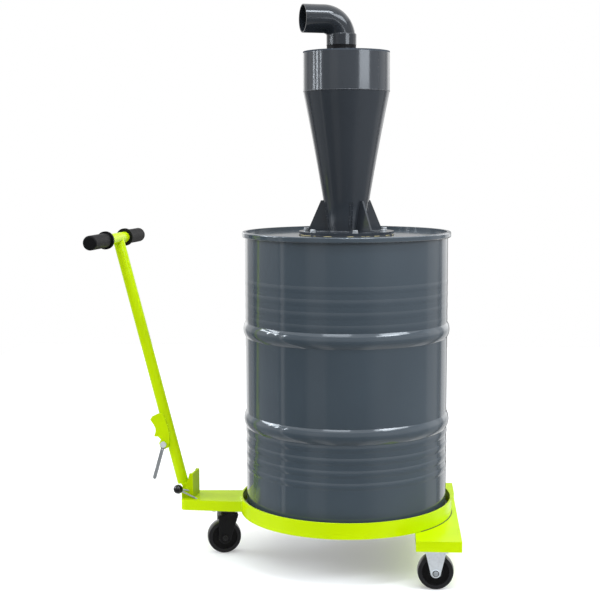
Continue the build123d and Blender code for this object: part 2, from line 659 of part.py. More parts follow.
# Fixed caster fork: a top plate with two tapered cheeks
FIXED_FORK_TOP = BEAM_BOTTOM - WHEEL_RADIUS
CHEEK_TOP = FIXED_FORK_TOP - CASTER_PLATE_SHEET
RIB_FOOT = AXLE_HEAD_RADIUS + MOVE_GAP
RIB_MIDDLE = (CHEEK_TOP + RIB_FOOT) / 2

with BuildPart() as fork_blank:
    with BuildSketch(Plane.XY.offset(CHEEK_TOP)):
        Rectangle(CASTER_PLATE_LENGTH, CASTER_PLATE_WIDTH)
    extrude(amount=CASTER_PLATE_SHEET)
    with BuildSketch(Plane.XZ.offset(-FORK_OUTSIDE / 2)):
        with BuildLine():
            Line((-FORK_TOP_WIDTH / 2, CHEEK_TOP), (-FORK_END_RADIUS, 0))
            ThreePointArc((-FORK_END_RADIUS, 0), (0, -FORK_END_RADIUS), (FORK_END_RADIUS, 0))
            Line((FORK_END_RADIUS, 0), (FORK_TOP_WIDTH / 2, CHEEK_TOP))
            Line((FORK_TOP_WIDTH / 2, CHEEK_TOP), (-FORK_TOP_WIDTH / 2, CHEEK_TOP))
        make_face()
        Circle(AXLE_RADIUS + RUN_FIT, mode=Mode.SUBTRACT)
    extrude(amount=FORK_OUTSIDE)
    with BuildSketch(Plane.XZ.offset(-FORK_OUTSIDE / 2 - FORK_RIB_STAND)):
        with Locations((0, RIB_MIDDLE)):
            SlotOverall(CHEEK_TOP - RIB_FOOT, FORK_RIB_WIDTH, rotation=90)
    extrude(amount=FORK_OUTSIDE + 2 * FORK_RIB_STAND)
    with BuildSketch(Plane.XZ.offset(-FORK_INSIDE / 2)):
        with Locations((0, (CHEEK_TOP - FORK_TOP_WIDTH) / 2)):
            Rectangle(2 * FORK_TOP_WIDTH, CHEEK_TOP + FORK_TOP_WIDTH)
    extrude(amount=FORK_INSIDE, mode=Mode.SUBTRACT)

with BuildPart() as near_fork:
    add(fork_blank.part.moved(NEAR_WHEEL))
near_fork.part.label = "near_fork"
export_step(near_fork.part, "parts/near_fork.step")

with BuildPart() as far_fork:
    add(fork_blank.part.moved(FAR_WHEEL))
far_fork.part.label = "far_fork"
export_step(far_fork.part, "parts/far_fork.step")

# Packing plate that brings the shallower far outrigger down to the caster
with BuildPart() as far_packing:
    with BuildSketch(Plane(Pos(CASTER_X, WHEEL_LINE, BEAM_BOTTOM))):
        Rectangle(CASTER_PLATE_LENGTH, CASTER_PLATE_WIDTH)
    extrude(amount=BEAM_HEIGHT - OUTRIGGER_HEIGHT)
far_packing.part.label = "far_packing"
export_step(far_packing.part, "parts/far_packing.step")

# Swivel caster: plate with its race, kingpin, and the fork that turns about it
PLATE_BOTTOM = TONGUE_BOTTOM - CASTER_PLATE_SHEET
RACE_BOTTOM = PLATE_BOTTOM - RACE_HEIGHT
CROWN_BOTTOM = CROWN_TOP - CROWN_HEIGHT
LEG_TOP = CROWN_BOTTOM - WHEEL_RADIUS
FORK_RIGHT = SWIVEL_TRAIL + CROWN_RADIUS

with BuildPart() as swivel_plate:
    with BuildSketch(Plane(Pos(DRUM_X, 0, PLATE_BOTTOM))):
        with Locations((-SWIVEL_X - (SWIVEL_PLATE_OUT - SWIVEL_PLATE_IN) / 2, 0)):
            Rectangle(SWIVEL_PLATE_OUT + SWIVEL_PLATE_IN, SWIVEL_PLATE_WIDTH)
        with Locations((-SWIVEL_X, 0)):
            Circle(KINGPIN_RADIUS + RUN_FIT, mode=Mode.SUBTRACT)
    extrude(amount=CASTER_PLATE_SHEET)
    with BuildSketch(SWIVEL.offset(RACE_BOTTOM)):
        Circle(RACE_RADIUS)
        Circle(KINGPIN_RADIUS + RUN_FIT, mode=Mode.SUBTRACT)
    extrude(amount=RACE_HEIGHT)
swivel_plate.part.label = "swivel_plate"
export_step(swivel_plate.part, "parts/swivel_plate.step")

KINGPIN_BOTTOM = CROWN_BOTTOM - MOVE_GAP - KINGPIN_HEAD_HEIGHT

with BuildPart() as kingpin:
    with BuildSketch(SWIVEL.offset(KINGPIN_BOTTOM)):
        Circle(KINGPIN_HEAD_RADIUS)
    extrude(amount=KINGPIN_HEAD_HEIGHT)
    with BuildSketch(SWIVEL.offset(KINGPIN_BOTTOM + KINGPIN_HEAD_HEIGHT)):
        Circle(KINGPIN_RADIUS)
    extrude(amount=TONGUE_BOTTOM - KINGPIN_BOTTOM - KINGPIN_HEAD_HEIGHT)
kingpin.part.label = "kingpin"
export_step(kingpin.part, "parts/kingpin.step")

with BuildPart() as swivel_fork:
    with BuildSketch(SWIVEL.offset(CROWN_BOTTOM)):
        Circle(CROWN_RADIUS)
    extrude(amount=CROWN_HEIGHT)
    with BuildSketch(SWIVEL.offset(CROWN_BOTTOM)):
        with Locations(((FORK_RIGHT - SWIVEL_END_RADIUS) / 2 - SWIVEL_TRAIL, 0)):
            Rectangle(FORK_RIGHT + SWIVEL_END_RADIUS, FORK_OUTSIDE)
    extrude(amount=FORK_SHEET)
    with BuildSketch(Plane(SWIVEL_WHEEL * UPRIGHT).offset(-FORK_OUTSIDE / 2)):
        with BuildLine():
            Line((-SWIVEL_END_RADIUS, LEG_TOP), (-SWIVEL_END_RADIUS, 0))
            ThreePointArc((-SWIVEL_END_RADIUS, 0), (0, -SWIVEL_END_RADIUS), (SWIVEL_END_RADIUS, 0))
            Line((SWIVEL_END_RADIUS, 0), (FORK_RIGHT, LEG_TOP))
            Line((FORK_RIGHT, LEG_TOP), (-SWIVEL_END_RADIUS, LEG_TOP))
        make_face()
        Circle(AXLE_RADIUS + RUN_FIT, mode=Mode.SUBTRACT)
    extrude(amount=FORK_OUTSIDE)
    with BuildSketch(Plane(SWIVEL_WHEEL * UPRIGHT).offset(-FORK_INSIDE / 2)):
        with Locations((0, (LEG_TOP - FORK_TOP_WIDTH) / 2)):
            Rectangle(2 * FORK_TOP_WIDTH, LEG_TOP + FORK_TOP_WIDTH)
    extrude(amount=FORK_INSIDE, mode=Mode.SUBTRACT)
    with BuildSketch(SWIVEL.offset(CROWN_BOTTOM)):
        Circle(KINGPIN_RADIUS + RUN_FIT)
    extrude(amount=CROWN_HEIGHT, mode=Mode.SUBTRACT)
swivel_fork.part.label = "swivel_fork"
export_step(swivel_fork.part, "parts/swivel_fork.step")

# Drawbar bracket: a folded plate with two lobed cheeks round the pivot
BRACKET_FOOT = TONGUE_TOP - PIVOT_HEIGHT
BRACKET_OUTSIDE = BRACKET_INSIDE + 2 * BRACKET_SHEET

with BuildPart() as drawbar_bracket:
    with BuildSketch(POST.offset(-BRACKET_OUTSIDE / 2)):
        with BuildLine():
            Polyline(
                (LOBE_RADIUS, 0),
                (LOBE_RADIUS, BRACKET_FOOT),
                (-BRACKET_BACK, BRACKET_FOOT),
                (-BRACKET_BACK, BRACKET_HEIGHT),
                (-BRACKET_BACK + BRACKET_SHEET + BRACKET_LIP, BRACKET_HEIGHT),
                (0, LOBE_RADIUS),
            )
            RadiusArc((0, LOBE_RADIUS), (LOBE_RADIUS, 0), LOBE_RADIUS)
        make_face()
        Circle(PIVOT_RADIUS + RUN_FIT, mode=Mode.SUBTRACT)
    extrude(amount=BRACKET_OUTSIDE)
    with BuildSketch(POST.offset(-BRACKET_INSIDE / 2)):
        with Locations((LOBE_RADIUS, 0)):
            Rectangle(2 * (BRACKET_BACK - BRACKET_SHEET + LOBE_RADIUS), 4 * BRACKET_HEIGHT)
    extrude(amount=BRACKET_INSIDE, mode=Mode.SUBTRACT)
drawbar_bracket.part.label = "drawbar_bracket"
export_step(drawbar_bracket.part, "parts/drawbar_bracket.step")

with BuildPart() as pivot_bolt:
    with BuildSketch(POST.offset(-BRACKET_OUTSIDE / 2 - PIVOT_HEAD_HEIGHT)):
        Circle(PIVOT_HEAD_RADIUS)
    extrude(amount=PIVOT_HEAD_HEIGHT)
    with BuildSketch(POST.offset(-BRACKET_OUTSIDE / 2)):
        Circle(PIVOT_RADIUS)
    extrude(amount=BRACKET_OUTSIDE)
    with BuildSketch(POST.offset(BRACKET_OUTSIDE / 2)):
        Circle(PIVOT_HEAD_RADIUS)
    extrude(amount=PIVOT_HEAD_HEIGHT)
pivot_bolt.part.label = "pivot_bolt"
export_step(pivot_bolt.part, "parts/pivot_bolt.step")

# Drawbar: eye on the pivot, leaning tube and cross-bar with grips
with BuildPart() as drawbar_eye:
    with BuildSketch(LEAN.offset(-EYE_LENGTH / 2)):
        Circle(EYE_RADIUS)
        with BuildLine():
            Polyline(
                (-EYE_RADIUS, 0),
                (DRAWBAR_SHIFT - DRAWBAR_RADIUS, EYE_TOP),
                (DRAWBAR_SHIFT, EYE_TOP),
                (EYE_RADIUS, 0),
                close=True,
            )
        make_face()
        Circle(PIVOT_RADIUS + RUN_FIT, mode=Mode.SUBTRACT)
    extrude(amount=EYE_LENGTH)
drawbar_eye.part.label = "drawbar_eye"
export_step(drawbar_eye.part, "parts/drawbar_eye.step")

TUBE_FOOT = Plane(origin=TUBE + LEAN_UP * EYE_TOP, x_dir=HINGE, z_dir=LEAN_UP)
TEE_CENTRE = TUBE + LEAN_UP * DRAWBAR_LENGTH - HINGE * TEE_SHIFT
TEE = Plane(origin=TEE_CENTRE, x_dir=LEAN_DOWN, z_dir=HINGE)

with BuildPart() as drawbar_tube:
    with BuildSketch(TUBE_FOOT):
        Circle(DRAWBAR_RADIUS)
        Circle(DRAWBAR_RADIUS - DRAWBAR_WALL, mode=Mode.SUBTRACT)
    extrude(amount=DRAWBAR_LENGTH - EYE_TOP)
    with BuildSketch(TEE.offset(TEE_SHIFT - 2 * DRAWBAR_RADIUS)):
        Circle(TEE_RADIUS + WELD_GAP)
    extrude(amount=4 * DRAWBAR_RADIUS, mode=Mode.SUBTRACT)
drawbar_tube.part.label = "drawbar_tube"
export_step(drawbar_tube.part, "parts/drawbar_tube.step")

with BuildPart() as tee_bar:
    with BuildSketch(TEE.offset(-TEE_HALF)):
        Circle(TEE_RADIUS)
        Circle(TEE_RADIUS - TEE_WALL, mode=Mode.SUBTRACT)
    extrude(amount=2 * TEE_HALF)
tee_bar.part.label = "tee_bar"
export_step(tee_bar.part, "parts/tee_bar.step")

GRIP_PROFILE = (
    (0, GRIP_HALF),
    (GRIP_RADIUS, GRIP_HALF),
    (GRIP_RADIUS, GRIP_HALF - GRIP_LENGTH + COLLAR_LENGTH),
    (COLLAR_RADIUS, GRIP_HALF - GRIP_LENGTH + COLLAR_LENGTH),
    (COLLAR_RADIUS, GRIP_HALF - GRIP_LENGTH),
    (TEE_RADIUS + WELD_GAP, GRIP_HALF - GRIP_LENGTH),
    (TEE_RADIUS + WELD_GAP, TEE_HALF),
    (0, TEE_HALF),
)

with BuildPart() as grip_blank:
    with BuildSketch(Plane.XZ):
        with BuildLine():
            Polyline(*GRIP_PROFILE, close=True)
        make_face()
    revolve(axis=Axis.Z)
    fillet(grip_blank.edges().filter_by(GeomType.CIRCLE).sort_by(Axis.Z)[-1], GRIP_ROUND)

with BuildPart() as far_grip:
    add(grip_blank.part.moved(TEE.location))
far_grip.part.label = "far_grip"
export_step(far_grip.part, "parts/far_grip.step")

with BuildPart() as near_grip:
    add(grip_blank.part.moved(TEE.location * Rot(180, 0, 0)))
near_grip.part.label = "near_grip"
export_step(near_grip.part, "parts/near_grip.step")

# Latch plate, its pin and the lever that hangs on it
LATCH_ASIDE = DRAWBAR_RADIUS + WELD_GAP + LATCH_SHEET / 2

with BuildPart() as latch_plate:
    with BuildSketch(TUBE_SIDE.offset(-LATCH_ASIDE - LATCH_SHEET / 2)) as latch_sketch:
        with BuildLine():
            Polyline(*LATCH_OUTLINE, close=True)
        make_face()
        fillet(latch_sketch.vertices(), LATCH_ROUND)
        with Locations((LATCH_PIN_OUT, LATCH_PIN_UP)):
            Circle(LATCH_PIN_RADIUS + RUN_FIT, mode=Mode.SUBTRACT)
    extrude(amount=LATCH_SHEET)
latch_plate.part.label = "latch_plate"
export_step(latch_plate.part, "parts/latch_plate.step")

PIN_CENTRE = TUBE + LEAN_UP * LATCH_PIN_UP + LEAN_DOWN * LATCH_PIN_OUT - HINGE * LATCH_ASIDE
LATCH_PIN = Plane(origin=PIN_CENTRE, x_dir=LEAN_DOWN, z_dir=HINGE)
LEVER_NEAR = LATCH_SHEET / 2 + LEVER_GAP + LEVER_SHEET
PIN_NEAR = LEVER_NEAR + LEVER_GAP

with BuildPart() as latch_pin:
    with BuildSketch(LATCH_PIN.offset(-PIN_NEAR - LATCH_PIN_HEAD_HEIGHT)):
        Circle(LATCH_PIN_HEAD)
    extrude(amount=LATCH_PIN_HEAD_HEIGHT)
    with BuildSketch(LATCH_PIN.offset(-PIN_NEAR)):
        Circle(LATCH_PIN_RADIUS)
    extrude(amount=PIN_NEAR + LATCH_SHEET / 2)
    with BuildSketch(LATCH_PIN.offset(LATCH_SHEET / 2)):
        Circle(LATCH_PIN_TAIL)
    extrude(amount=LATCH_PIN_HEAD_HEIGHT)
latch_pin.part.label = "latch_pin"
export_step(latch_pin.part, "parts/latch_pin.step")

LEVER = Plane(LATCH_PIN.location * Rot(0, 0, LEVER_SWING))

with BuildPart() as latch_lever:
    with BuildSketch(LEVER.offset(-LEVER_NEAR)):
        with Locations((0, -LEVER_LENGTH / 2)):
            SlotCenterToCenter(LEVER_LENGTH, LEVER_WIDTH, rotation=90)
        Circle(LEVER_EYE)
        Circle(LATCH_PIN_RADIUS + RUN_FIT, mode=Mode.SUBTRACT)
        with Locations((0, -LEVER_HOLE_DOWN)):
            Circle(LEVER_HOLE, mode=Mode.SUBTRACT)
    extrude(amount=LEVER_SHEET)
latch_lever.part.label = "latch_lever"
export_step(latch_lever.part, "parts/latch_lever.step")

# Ball knob with the two prongs of the bracket's lock
KNOB_AWAY = BRACKET_OUTSIDE / 2 + KNOB_STAND
KNOB = PIVOT + OUTWARD * KNOB_OUT + Vector(0, 0, KNOB_UP) - HINGE * KNOB_AWAY
BOLT_FACE = BRACKET_OUTSIDE / 2 + PIVOT_HEAD_HEIGHT
PRONG_TIPS = (
    PIVOT - OUTWARD * SHORT_PRONG_BACK - HINGE * BOLT_FACE,
    PIVOT - OUTWARD * LONG_PRONG_BACK - HINGE * LONG_PRONG_ASIDE + Vector(0, 0, BRACKET_FOOT),
)
PRONGS = []
for tip in PRONG_TIPS:
    reach = KNOB - tip
    PRONGS.append((Plane(origin=KNOB, z_dir=reach), reach.length))

with BuildPart() as lock_knob:
    with Locations(Location(KNOB, (0, 0, 180))):
        Sphere(KNOB_RADIUS)
    for prong, length in PRONGS:
        with BuildSketch(prong.offset(PRONG_SINK - KNOB_RADIUS)):
            Circle(PRONG_RADIUS + WELD_GAP)
        extrude(amount=-length, mode=Mode.SUBTRACT)
lock_knob.part.label = "lock_knob"
export_step(lock_knob.part, "parts/lock_knob.step")

with BuildPart() as lock_prongs:
    for prong, length in PRONGS:
        with BuildSketch(prong.offset(PRONG_SINK - KNOB_RADIUS)):
            Circle(PRONG_RADIUS)
        extrude(amount=-length)
    with BuildSketch(POST.offset(-BOLT_FACE)):
        Rectangle(4 * KNOB_RADIUS, 2 * PIVOT_HEAD_RADIUS)
    extrude(amount=BOLT_FACE, mode=Mode.SUBTRACT)
    with BuildSketch(Plane(Pos(PIVOT.X, PIVOT.Y, TONGUE_TOP))):
        Rectangle(4 * BOLT_FACE, 4 * BOLT_FACE)
    extrude(amount=-TONGUE_HEIGHT, mode=Mode.SUBTRACT)
lock_prongs.part.label = "lock_prongs"
export_step(lock_prongs.part, "parts/lock_prongs.step")
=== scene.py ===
"""Looks of a mobile cyclone separator, laid out as an add-on and run as a script."""

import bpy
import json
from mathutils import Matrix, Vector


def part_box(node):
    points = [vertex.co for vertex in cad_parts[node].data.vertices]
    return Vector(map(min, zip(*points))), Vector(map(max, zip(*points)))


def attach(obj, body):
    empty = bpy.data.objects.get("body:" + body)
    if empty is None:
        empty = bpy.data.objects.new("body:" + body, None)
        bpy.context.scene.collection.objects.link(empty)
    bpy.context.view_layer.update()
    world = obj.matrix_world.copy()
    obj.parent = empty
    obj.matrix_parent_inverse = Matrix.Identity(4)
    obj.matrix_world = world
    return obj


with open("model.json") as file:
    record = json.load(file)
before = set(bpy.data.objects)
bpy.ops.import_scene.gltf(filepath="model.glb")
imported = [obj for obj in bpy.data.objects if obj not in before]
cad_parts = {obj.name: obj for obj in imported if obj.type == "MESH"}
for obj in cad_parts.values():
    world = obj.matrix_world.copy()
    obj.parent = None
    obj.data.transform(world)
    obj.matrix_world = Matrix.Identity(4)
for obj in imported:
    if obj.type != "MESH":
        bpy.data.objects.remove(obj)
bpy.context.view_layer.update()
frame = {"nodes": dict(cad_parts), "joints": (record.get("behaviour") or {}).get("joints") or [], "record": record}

import json
from math import cos, pi, radians, sin, tau

import bpy
from mathutils import Matrix, Vector

bl_info = {
    "name": "Mobile cyclone separator",
    "version": (1, 0, 0),
    "blender": (4, 5, 0),
    "location": "3D View > Sidebar > Separator",
    "description": "Bolts, welds and finishes of a drum-mounted dust cyclone on its dolly",
    "category": "Object",
}


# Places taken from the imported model

def middle(node):
    """Centre of a node's box."""
    low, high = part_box(node)
    return (low + high) / 2


UP = Vector((0, 0, 1))
DRUM = middle("drum_shell")
FLANGE_LOW, FLANGE_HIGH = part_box("cyclone_flange")
BARREL_LOW, BARREL_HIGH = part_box("cyclone_barrel")
BARREL_RADIUS = (BARREL_HIGH.x - BARREL_LOW.x) / 2
JOINTS = {joint["name"]: joint for joint in frame["joints"]}
HINGE = Vector(JOINTS["latch_lever_swing"]["axis"]).normalized()
CASTER_AXLE = Vector(JOINTS["caster_wheel_spin"]["axis"]).normalized()
FIXED_AXLE = Vector((0, 1, 0))
PIVOT = Vector(JOINTS["drawbar_pivot"]["pos_m"])

# The drawbar's tube leans out and stands a little off its pivot
LEAN = radians(14.7)
TUBE_OFF = 0.0161
OUTWARD = Vector((-HINGE.y, HINGE.x, 0))
LEAN_DOWN = OUTWARD * cos(LEAN) - UP * sin(LEAN)
LEAN_UP = OUTWARD * sin(LEAN) + UP * cos(LEAN)
TUBE = PIVOT + LEAN_DOWN * TUBE_OFF

# Sizes that the small pieces follow, in metres; turns are in degrees from the front, growing to the right
CONE_FOOT = 0.051
CONE_SLOPE = 0.1549
CONE_BOW = 0.0631
FOOT_WELD_RADIUS = 0.0515
GUSSET_TURNS = (-95, 42, 114, 195)
GUSSET_HALF = 0.0036
GUSSET_INSIDE = 0.055
GUSSET_OUTSIDE = 0.104
GUSSET_WELD_STEP = 0.0082
GUSSET_WELD_STEPS = 10
GIRTH_SINK = 0.0008
SEAM_TURN = 48
SEAM_SINK = 0.0004
SEAM_LENGTH = 0.105
FLANGE_BOLT_TURNS = (-103, -50, 14, 62, 115, 167, 214)
FLANGE_WASHER = 0.0014
# depths under the flange between which the gasket's painted shade along its foot fades in
GASKET_SHADED_FOOT = (0.0019, 0.0013)
TONGUE_TURNS = (-102, -78)
# turns, size and offsets of the dark bead that paints the shadow of the gap between ring and cross-beam
GAP_SHADOW_TURNS = (44, 89)
GAP_SHADOW_RADIUS = 0.001
GAP_SHADOW_OUT = 0.0003
GAP_SHADOW_UP = 0.0007
LATCH_EDGE = ((-0.0005, 0.229), (-0.003, 0.214), (-0.005, 0.192), (-0.004, 0.17), (0.0005, 0.15))
LATCH_ASIDE = -0.0165
TYRE_INSIDE = 0.0362
TYRE_LINE = 0.001
GRIP_FLUTES = 30
CASTER_SHEET = 0.003
PLATE_BOLT_INSET = 0.01
FORK_BOLT_INSET = 0.006
FORK_BOLT = {"across": 0.008, "head": 0.003, "washer_radius": 0.005, "washer_sheet": 0.0008}

# How far the heads were left turned when they were tightened, in radians
FLANGE_BOLT_SPIN = 0.7
CASTER_BOLT_SPIN = 0.4
CAP_SPIN = 0.3
FAR_CAP_SPIN = 0.8


def on_drawbar(out, up, aside):
    """A point by its distance out from the leaning tube's axis, up along it and aside along the pivot."""
    return TUBE + LEAN_DOWN * out + LEAN_UP * up + HINGE * aside


def cone_radius(up):
    """Outside of the slightly bowed cone, by the height over its flange."""
    return CONE_FOOT + CONE_SLOPE * up + CONE_BOW * up * up


def round_axis(turn, radius, height):
    """A point round the drum's axis."""
    return Vector((DRUM.x + radius * sin(radians(turn)), DRUM.y - radius * cos(radians(turn)), height))


def arc(turns, radius, height, count):
    """Points round the drum's axis from one turn to another."""
    first, last = turns
    return [round_axis(first + (last - first) * step / count, radius, height) for step in range(count + 1)]


def between(start, end, count):
    """Points along a straight line."""
    return [start.lerp(end, step / count) for step in range(count + 1)]


# Shader arithmetic

class Wire:
    """One output socket of a material that can be used in sums."""

    def __init__(self, tree, socket):
        self.tree = tree
        self.socket = socket

    def node(self, kind, settings, sockets, output=0):
        """Adds a node of that kind, sets it up, feeds its sockets and gives one of its outputs."""
        made = self.tree.nodes.new(kind)
        for key, value in settings.items():
            if key == "stops":
                for place, bright in value[2:]:
                    made.color_ramp.elements.new(place).color = (bright, bright, bright, 1)
                for stop, (place, bright) in zip(made.color_ramp.elements, value):
                    stop.position = place
                    stop.color = (bright, bright, bright, 1)
            else:
                setattr(made, key, value)
        for key, value in sockets.items():
            if isinstance(value, Wire):
                self.tree.links.new(value.socket, made.inputs[key])
            else:
                made.inputs[key].default_value = value
        return Wire(self.tree, made.outputs[output])

    def sum(self, operation, *values):
        return self.node("ShaderNodeMath", {"operation": operation}, dict(enumerate(values)))

    def dot(self, other):
        return self.node("ShaderNodeVectorMath", {"operation": "DOT_PRODUCT"}, {0: self, 1: other}, 1)

    def __add__(self, other):
        return self.sum("ADD", self, other)

    __radd__ = __add__

    def __sub__(self, other):
        return self.sum("SUBTRACT", self, other)

    def __rsub__(self, other):
        return self.sum("SUBTRACT", other, self)

    def __mul__(self, other):
        return self.sum("MULTIPLY", self, other)

    __rmul__ = __mul__

    def __truediv__(self, other):
        return self.sum("DIVIDE", self, other)

    def __pow__(self, other):
        return self.sum("POWER", self, other)


class Finish:
    """A material under construction: its shader, its object coordinates and the usual textures."""

    def __init__(self, name, **sockets):
        self.material = bpy.data.materials.new(name)
        self.material.use_nodes = True
        tree = self.material.node_tree
        self.shader = next(node for node in tree.nodes if node.type == "BSDF_PRINCIPLED")
        for key, value in sockets.items():
            self.shader.inputs[key.replace("_", " ")].default_value = value
        made = tree.nodes.new("ShaderNodeTexCoord")
        self.place = Wire(tree, made.outputs["Object"])

    def noise(self, scale, detail=2.0, stretch=None):
        place = self.place
        if stretch:
            place = place.node("ShaderNodeMapping", {}, {"Vector": place, "Scale": stretch})
        return place.node("ShaderNodeTexNoise", {}, {"Vector": place, "Scale": scale, "Detail": detail})

    def cells(self, scale):
        return self.place.node("ShaderNodeTexVoronoi", {}, {"Vector": self.place, "Scale": scale})

    def blend(self, amount, first, second):
        settings = {"data_type": "RGBA", "clamp_factor": True}
        return self.place.node("ShaderNodeMix", settings, {0: amount, 6: first, 7: second}, 2)

    def step(self, value, low, high):
        """0 below low, 1 above high, smooth between them."""
        settings = {"interpolation_type": "SMOOTHSTEP"}
        sockets = {"Value": value, "From Min": low, "From Max": high, "To Min": 0.0, "To Max": 1.0}
        return self.place.node("ShaderNodeMapRange", settings, sockets)

    def edges(self, width):
        """Nears 1 within that distance of a sharp edge."""
        rounded = self.place.node("ShaderNodeBevel", {"samples": 4}, {"Radius": width})
        return 1 - rounded.dot(self.place.node("ShaderNodeNewGeometry", {}, {}, "Normal"))

    def height(self):
        return self.place.node("ShaderNodeSeparateXYZ", {}, {0: self.place}, 2)

    def feed(self, socket, wire):
        self.place.tree.links.new(wire.socket, self.shader.inputs[socket])

    def raise_by(self, height, strength, distance):
        sockets = {"Height": height, "Strength": strength, "Distance": distance}
        self.feed("Normal", self.place.node("ShaderNodeBump", {}, sockets))


def shade(colour, factor):
    """A colour made darker or lighter, with its alpha."""
    return (*(min(1.0, part * factor) for part in colour[:3]), 1.0)


def painted(name, colour, roughness, peel, peel_scale, gloss, edge):
    """Sprayed or powder-coated paint: faint clouding, orange peel, uneven gloss and rubbed edges painted lighter,
    partly wear and partly a painted highlight.
    """
    finish = Finish(name, Specular_IOR_Level=gloss)
    cloud = finish.noise(scale=5.0, detail=4.0)
    speck = finish.noise(scale=240.0, detail=1.0)
    worn = finish.noise(scale=45.0, detail=3.0)
    tint = finish.blend(finish.step(cloud, 0.3, 0.7), shade(colour, 0.94), shade(colour, 1.05))
    tint = finish.blend(finish.step(speck, 0.64, 0.76), tint, shade(colour, 1.06))
    # rubbed edges, where the worn noise allows, turn to the lighter edge colour: partly wear, partly a painted
    # highlight along the edges
    rub_and_highlight = finish.step(finish.edges(0.0022), 0.03, 0.2) * finish.step(worn, 0.3, 0.6)
    finish.feed("Base Color", finish.blend(rub_and_highlight, tint, edge))
    finish.feed("Roughness", roughness + 0.12 * (cloud - 0.5) + 0.06 * (speck - 0.5))
    finish.raise_by(finish.noise(peel_scale, detail=1.0), strength=peel, distance=0.0004)
    return finish.material


def drum_coat(name, colour):
    """Gloss drum enamel over rolled sheet: faint streaks and clouding, rubbed edges painted lighter, partly wear
    and partly a painted highlight, and a slow wave.
    """
    finish = Finish(name, Coat_Weight=0.3, Coat_Roughness=0.04)
    streak = finish.noise(scale=14.0, detail=3.0, stretch=(1.0, 1.0, 0.12))
    cloud = finish.noise(scale=4.0, detail=3.0)
    worn = finish.noise(scale=30.0, detail=3.0)
    wave = finish.noise(scale=9.0, detail=1.0, stretch=(1.0, 1.0, 0.5))
    tint = finish.blend(finish.step(cloud, 0.3, 0.7), shade(colour, 0.95), shade(colour, 1.05))
    # rubbed edges turn to a lighter copy of the enamel: partly wear, partly a painted highlight along the edges
    rub_and_highlight = finish.step(finish.edges(0.0015), 0.06, 0.3) * finish.step(worn, 0.4, 0.7)
    finish.feed("Base Color", finish.blend(rub_and_highlight * 0.6, tint, shade(colour, 2.4)))
    finish.feed("Roughness", 0.12 + 0.06 * (streak - 0.5) + 0.04 * (cloud - 0.5))
    finish.raise_by(wave, strength=0.02, distance=0.002)
    return finish.material


def zinc_plate(name, colour):
    """Zinc plate under its dull clear film, with faint crystal patches and a brushed grain."""
    finish = Finish(name, Metallic=0.45)
    patch = finish.cells(scale=160.0)
    grain = finish.noise(scale=90.0, detail=3.0, stretch=(1.0, 1.0, 6.0))
    stain = finish.step(finish.noise(scale=16.0, detail=3.0), 0.5, 0.8)
    tint = finish.blend(finish.step(patch, 0.1, 0.7), shade(colour, 0.96), shade(colour, 1.03))
    finish.feed("Base Color", finish.blend(stain, tint, shade(colour, 0.8)))
    finish.feed("Roughness", 0.3 + 0.1 * (grain - 0.5) + 0.05 * (patch - 0.4))
    finish.raise_by(grain, strength=0.03, distance=0.0006)
    return finish.material


def black_plastic(name, colour, roughness, gloss):
    """Moulded black plastic with a fine satin texture."""
    finish = Finish(name, Specular_IOR_Level=gloss)
    cloud = finish.noise(scale=22.0, detail=3.0)
    fine = finish.noise(scale=520.0, detail=1.0)
    dust = finish.step(finish.noise(scale=60.0, detail=4.0), 0.56, 0.8)
    finish.feed("Base Color", finish.blend(dust * 0.5, shade(colour, 1.0), shade(colour, 2.4)))
    finish.feed("Roughness", roughness + 0.16 * (cloud - 0.5) + 0.05 * (fine - 0.5))
    finish.raise_by(fine, strength=0.1, distance=0.0004)
    return finish.material


def caster_wheel(name, colour, node, axle):
    """Caster wheel: a satin tyre band round a glossier, darker disc, its edges painted lighter, partly wear and
    partly a painted highlight.
    """
    finish = Finish(name, Specular_IOR_Level=0.45)
    place = finish.place
    offset = place.node("ShaderNodeVectorMath", {"operation": "SUBTRACT"}, {0: place, 1: middle(node)})
    along = offset.dot(axle)
    radius = (offset.dot(offset) - along * along) ** 0.5
    tyre = finish.step(radius, TYRE_INSIDE, TYRE_INSIDE + TYRE_LINE)
    cloud = finish.noise(scale=30.0, detail=3.0)
    fine = finish.noise(scale=520.0, detail=1.0)
    dust = finish.step(finish.noise(scale=60.0, detail=4.0), 0.5, 0.8) * 0.4
    band = finish.blend(dust, shade(colour, 2.6), shade(colour, 4.5))
    # sharp edges turn much lighter: partly wear, partly a painted highlight
    rub_and_highlight = finish.step(finish.edges(0.002), 0.03, 0.2) * 0.5
    finish.feed("Base Color", finish.blend(rub_and_highlight, finish.blend(tyre, shade(colour, 0.8), band), shade(colour, 8.0)))
    finish.feed("Roughness", 0.2 + 0.1 * tyre + 0.12 * (cloud - 0.5) + 0.05 * (fine - 0.5))
    finish.raise_by(fine, strength=0.08, distance=0.0004)
    return finish.material


def pipe_plastic(name, colour):
    """Pipe plastic: glossy, with faint clouding and a faint wave."""
    finish = Finish(name, Specular_IOR_Level=0.42, Coat_Weight=0.05, Coat_Roughness=0.1)
    cloud = finish.noise(scale=12.0, detail=3.0)
    finish.feed("Base Color", finish.blend(finish.step(cloud, 0.3, 0.7), shade(colour, 0.92), shade(colour, 1.08)))
    finish.feed("Roughness", 0.1 + 0.06 * (cloud - 0.5))
    finish.raise_by(finish.noise(scale=25.0, detail=1.0), strength=0.01, distance=0.0005)
    return finish.material


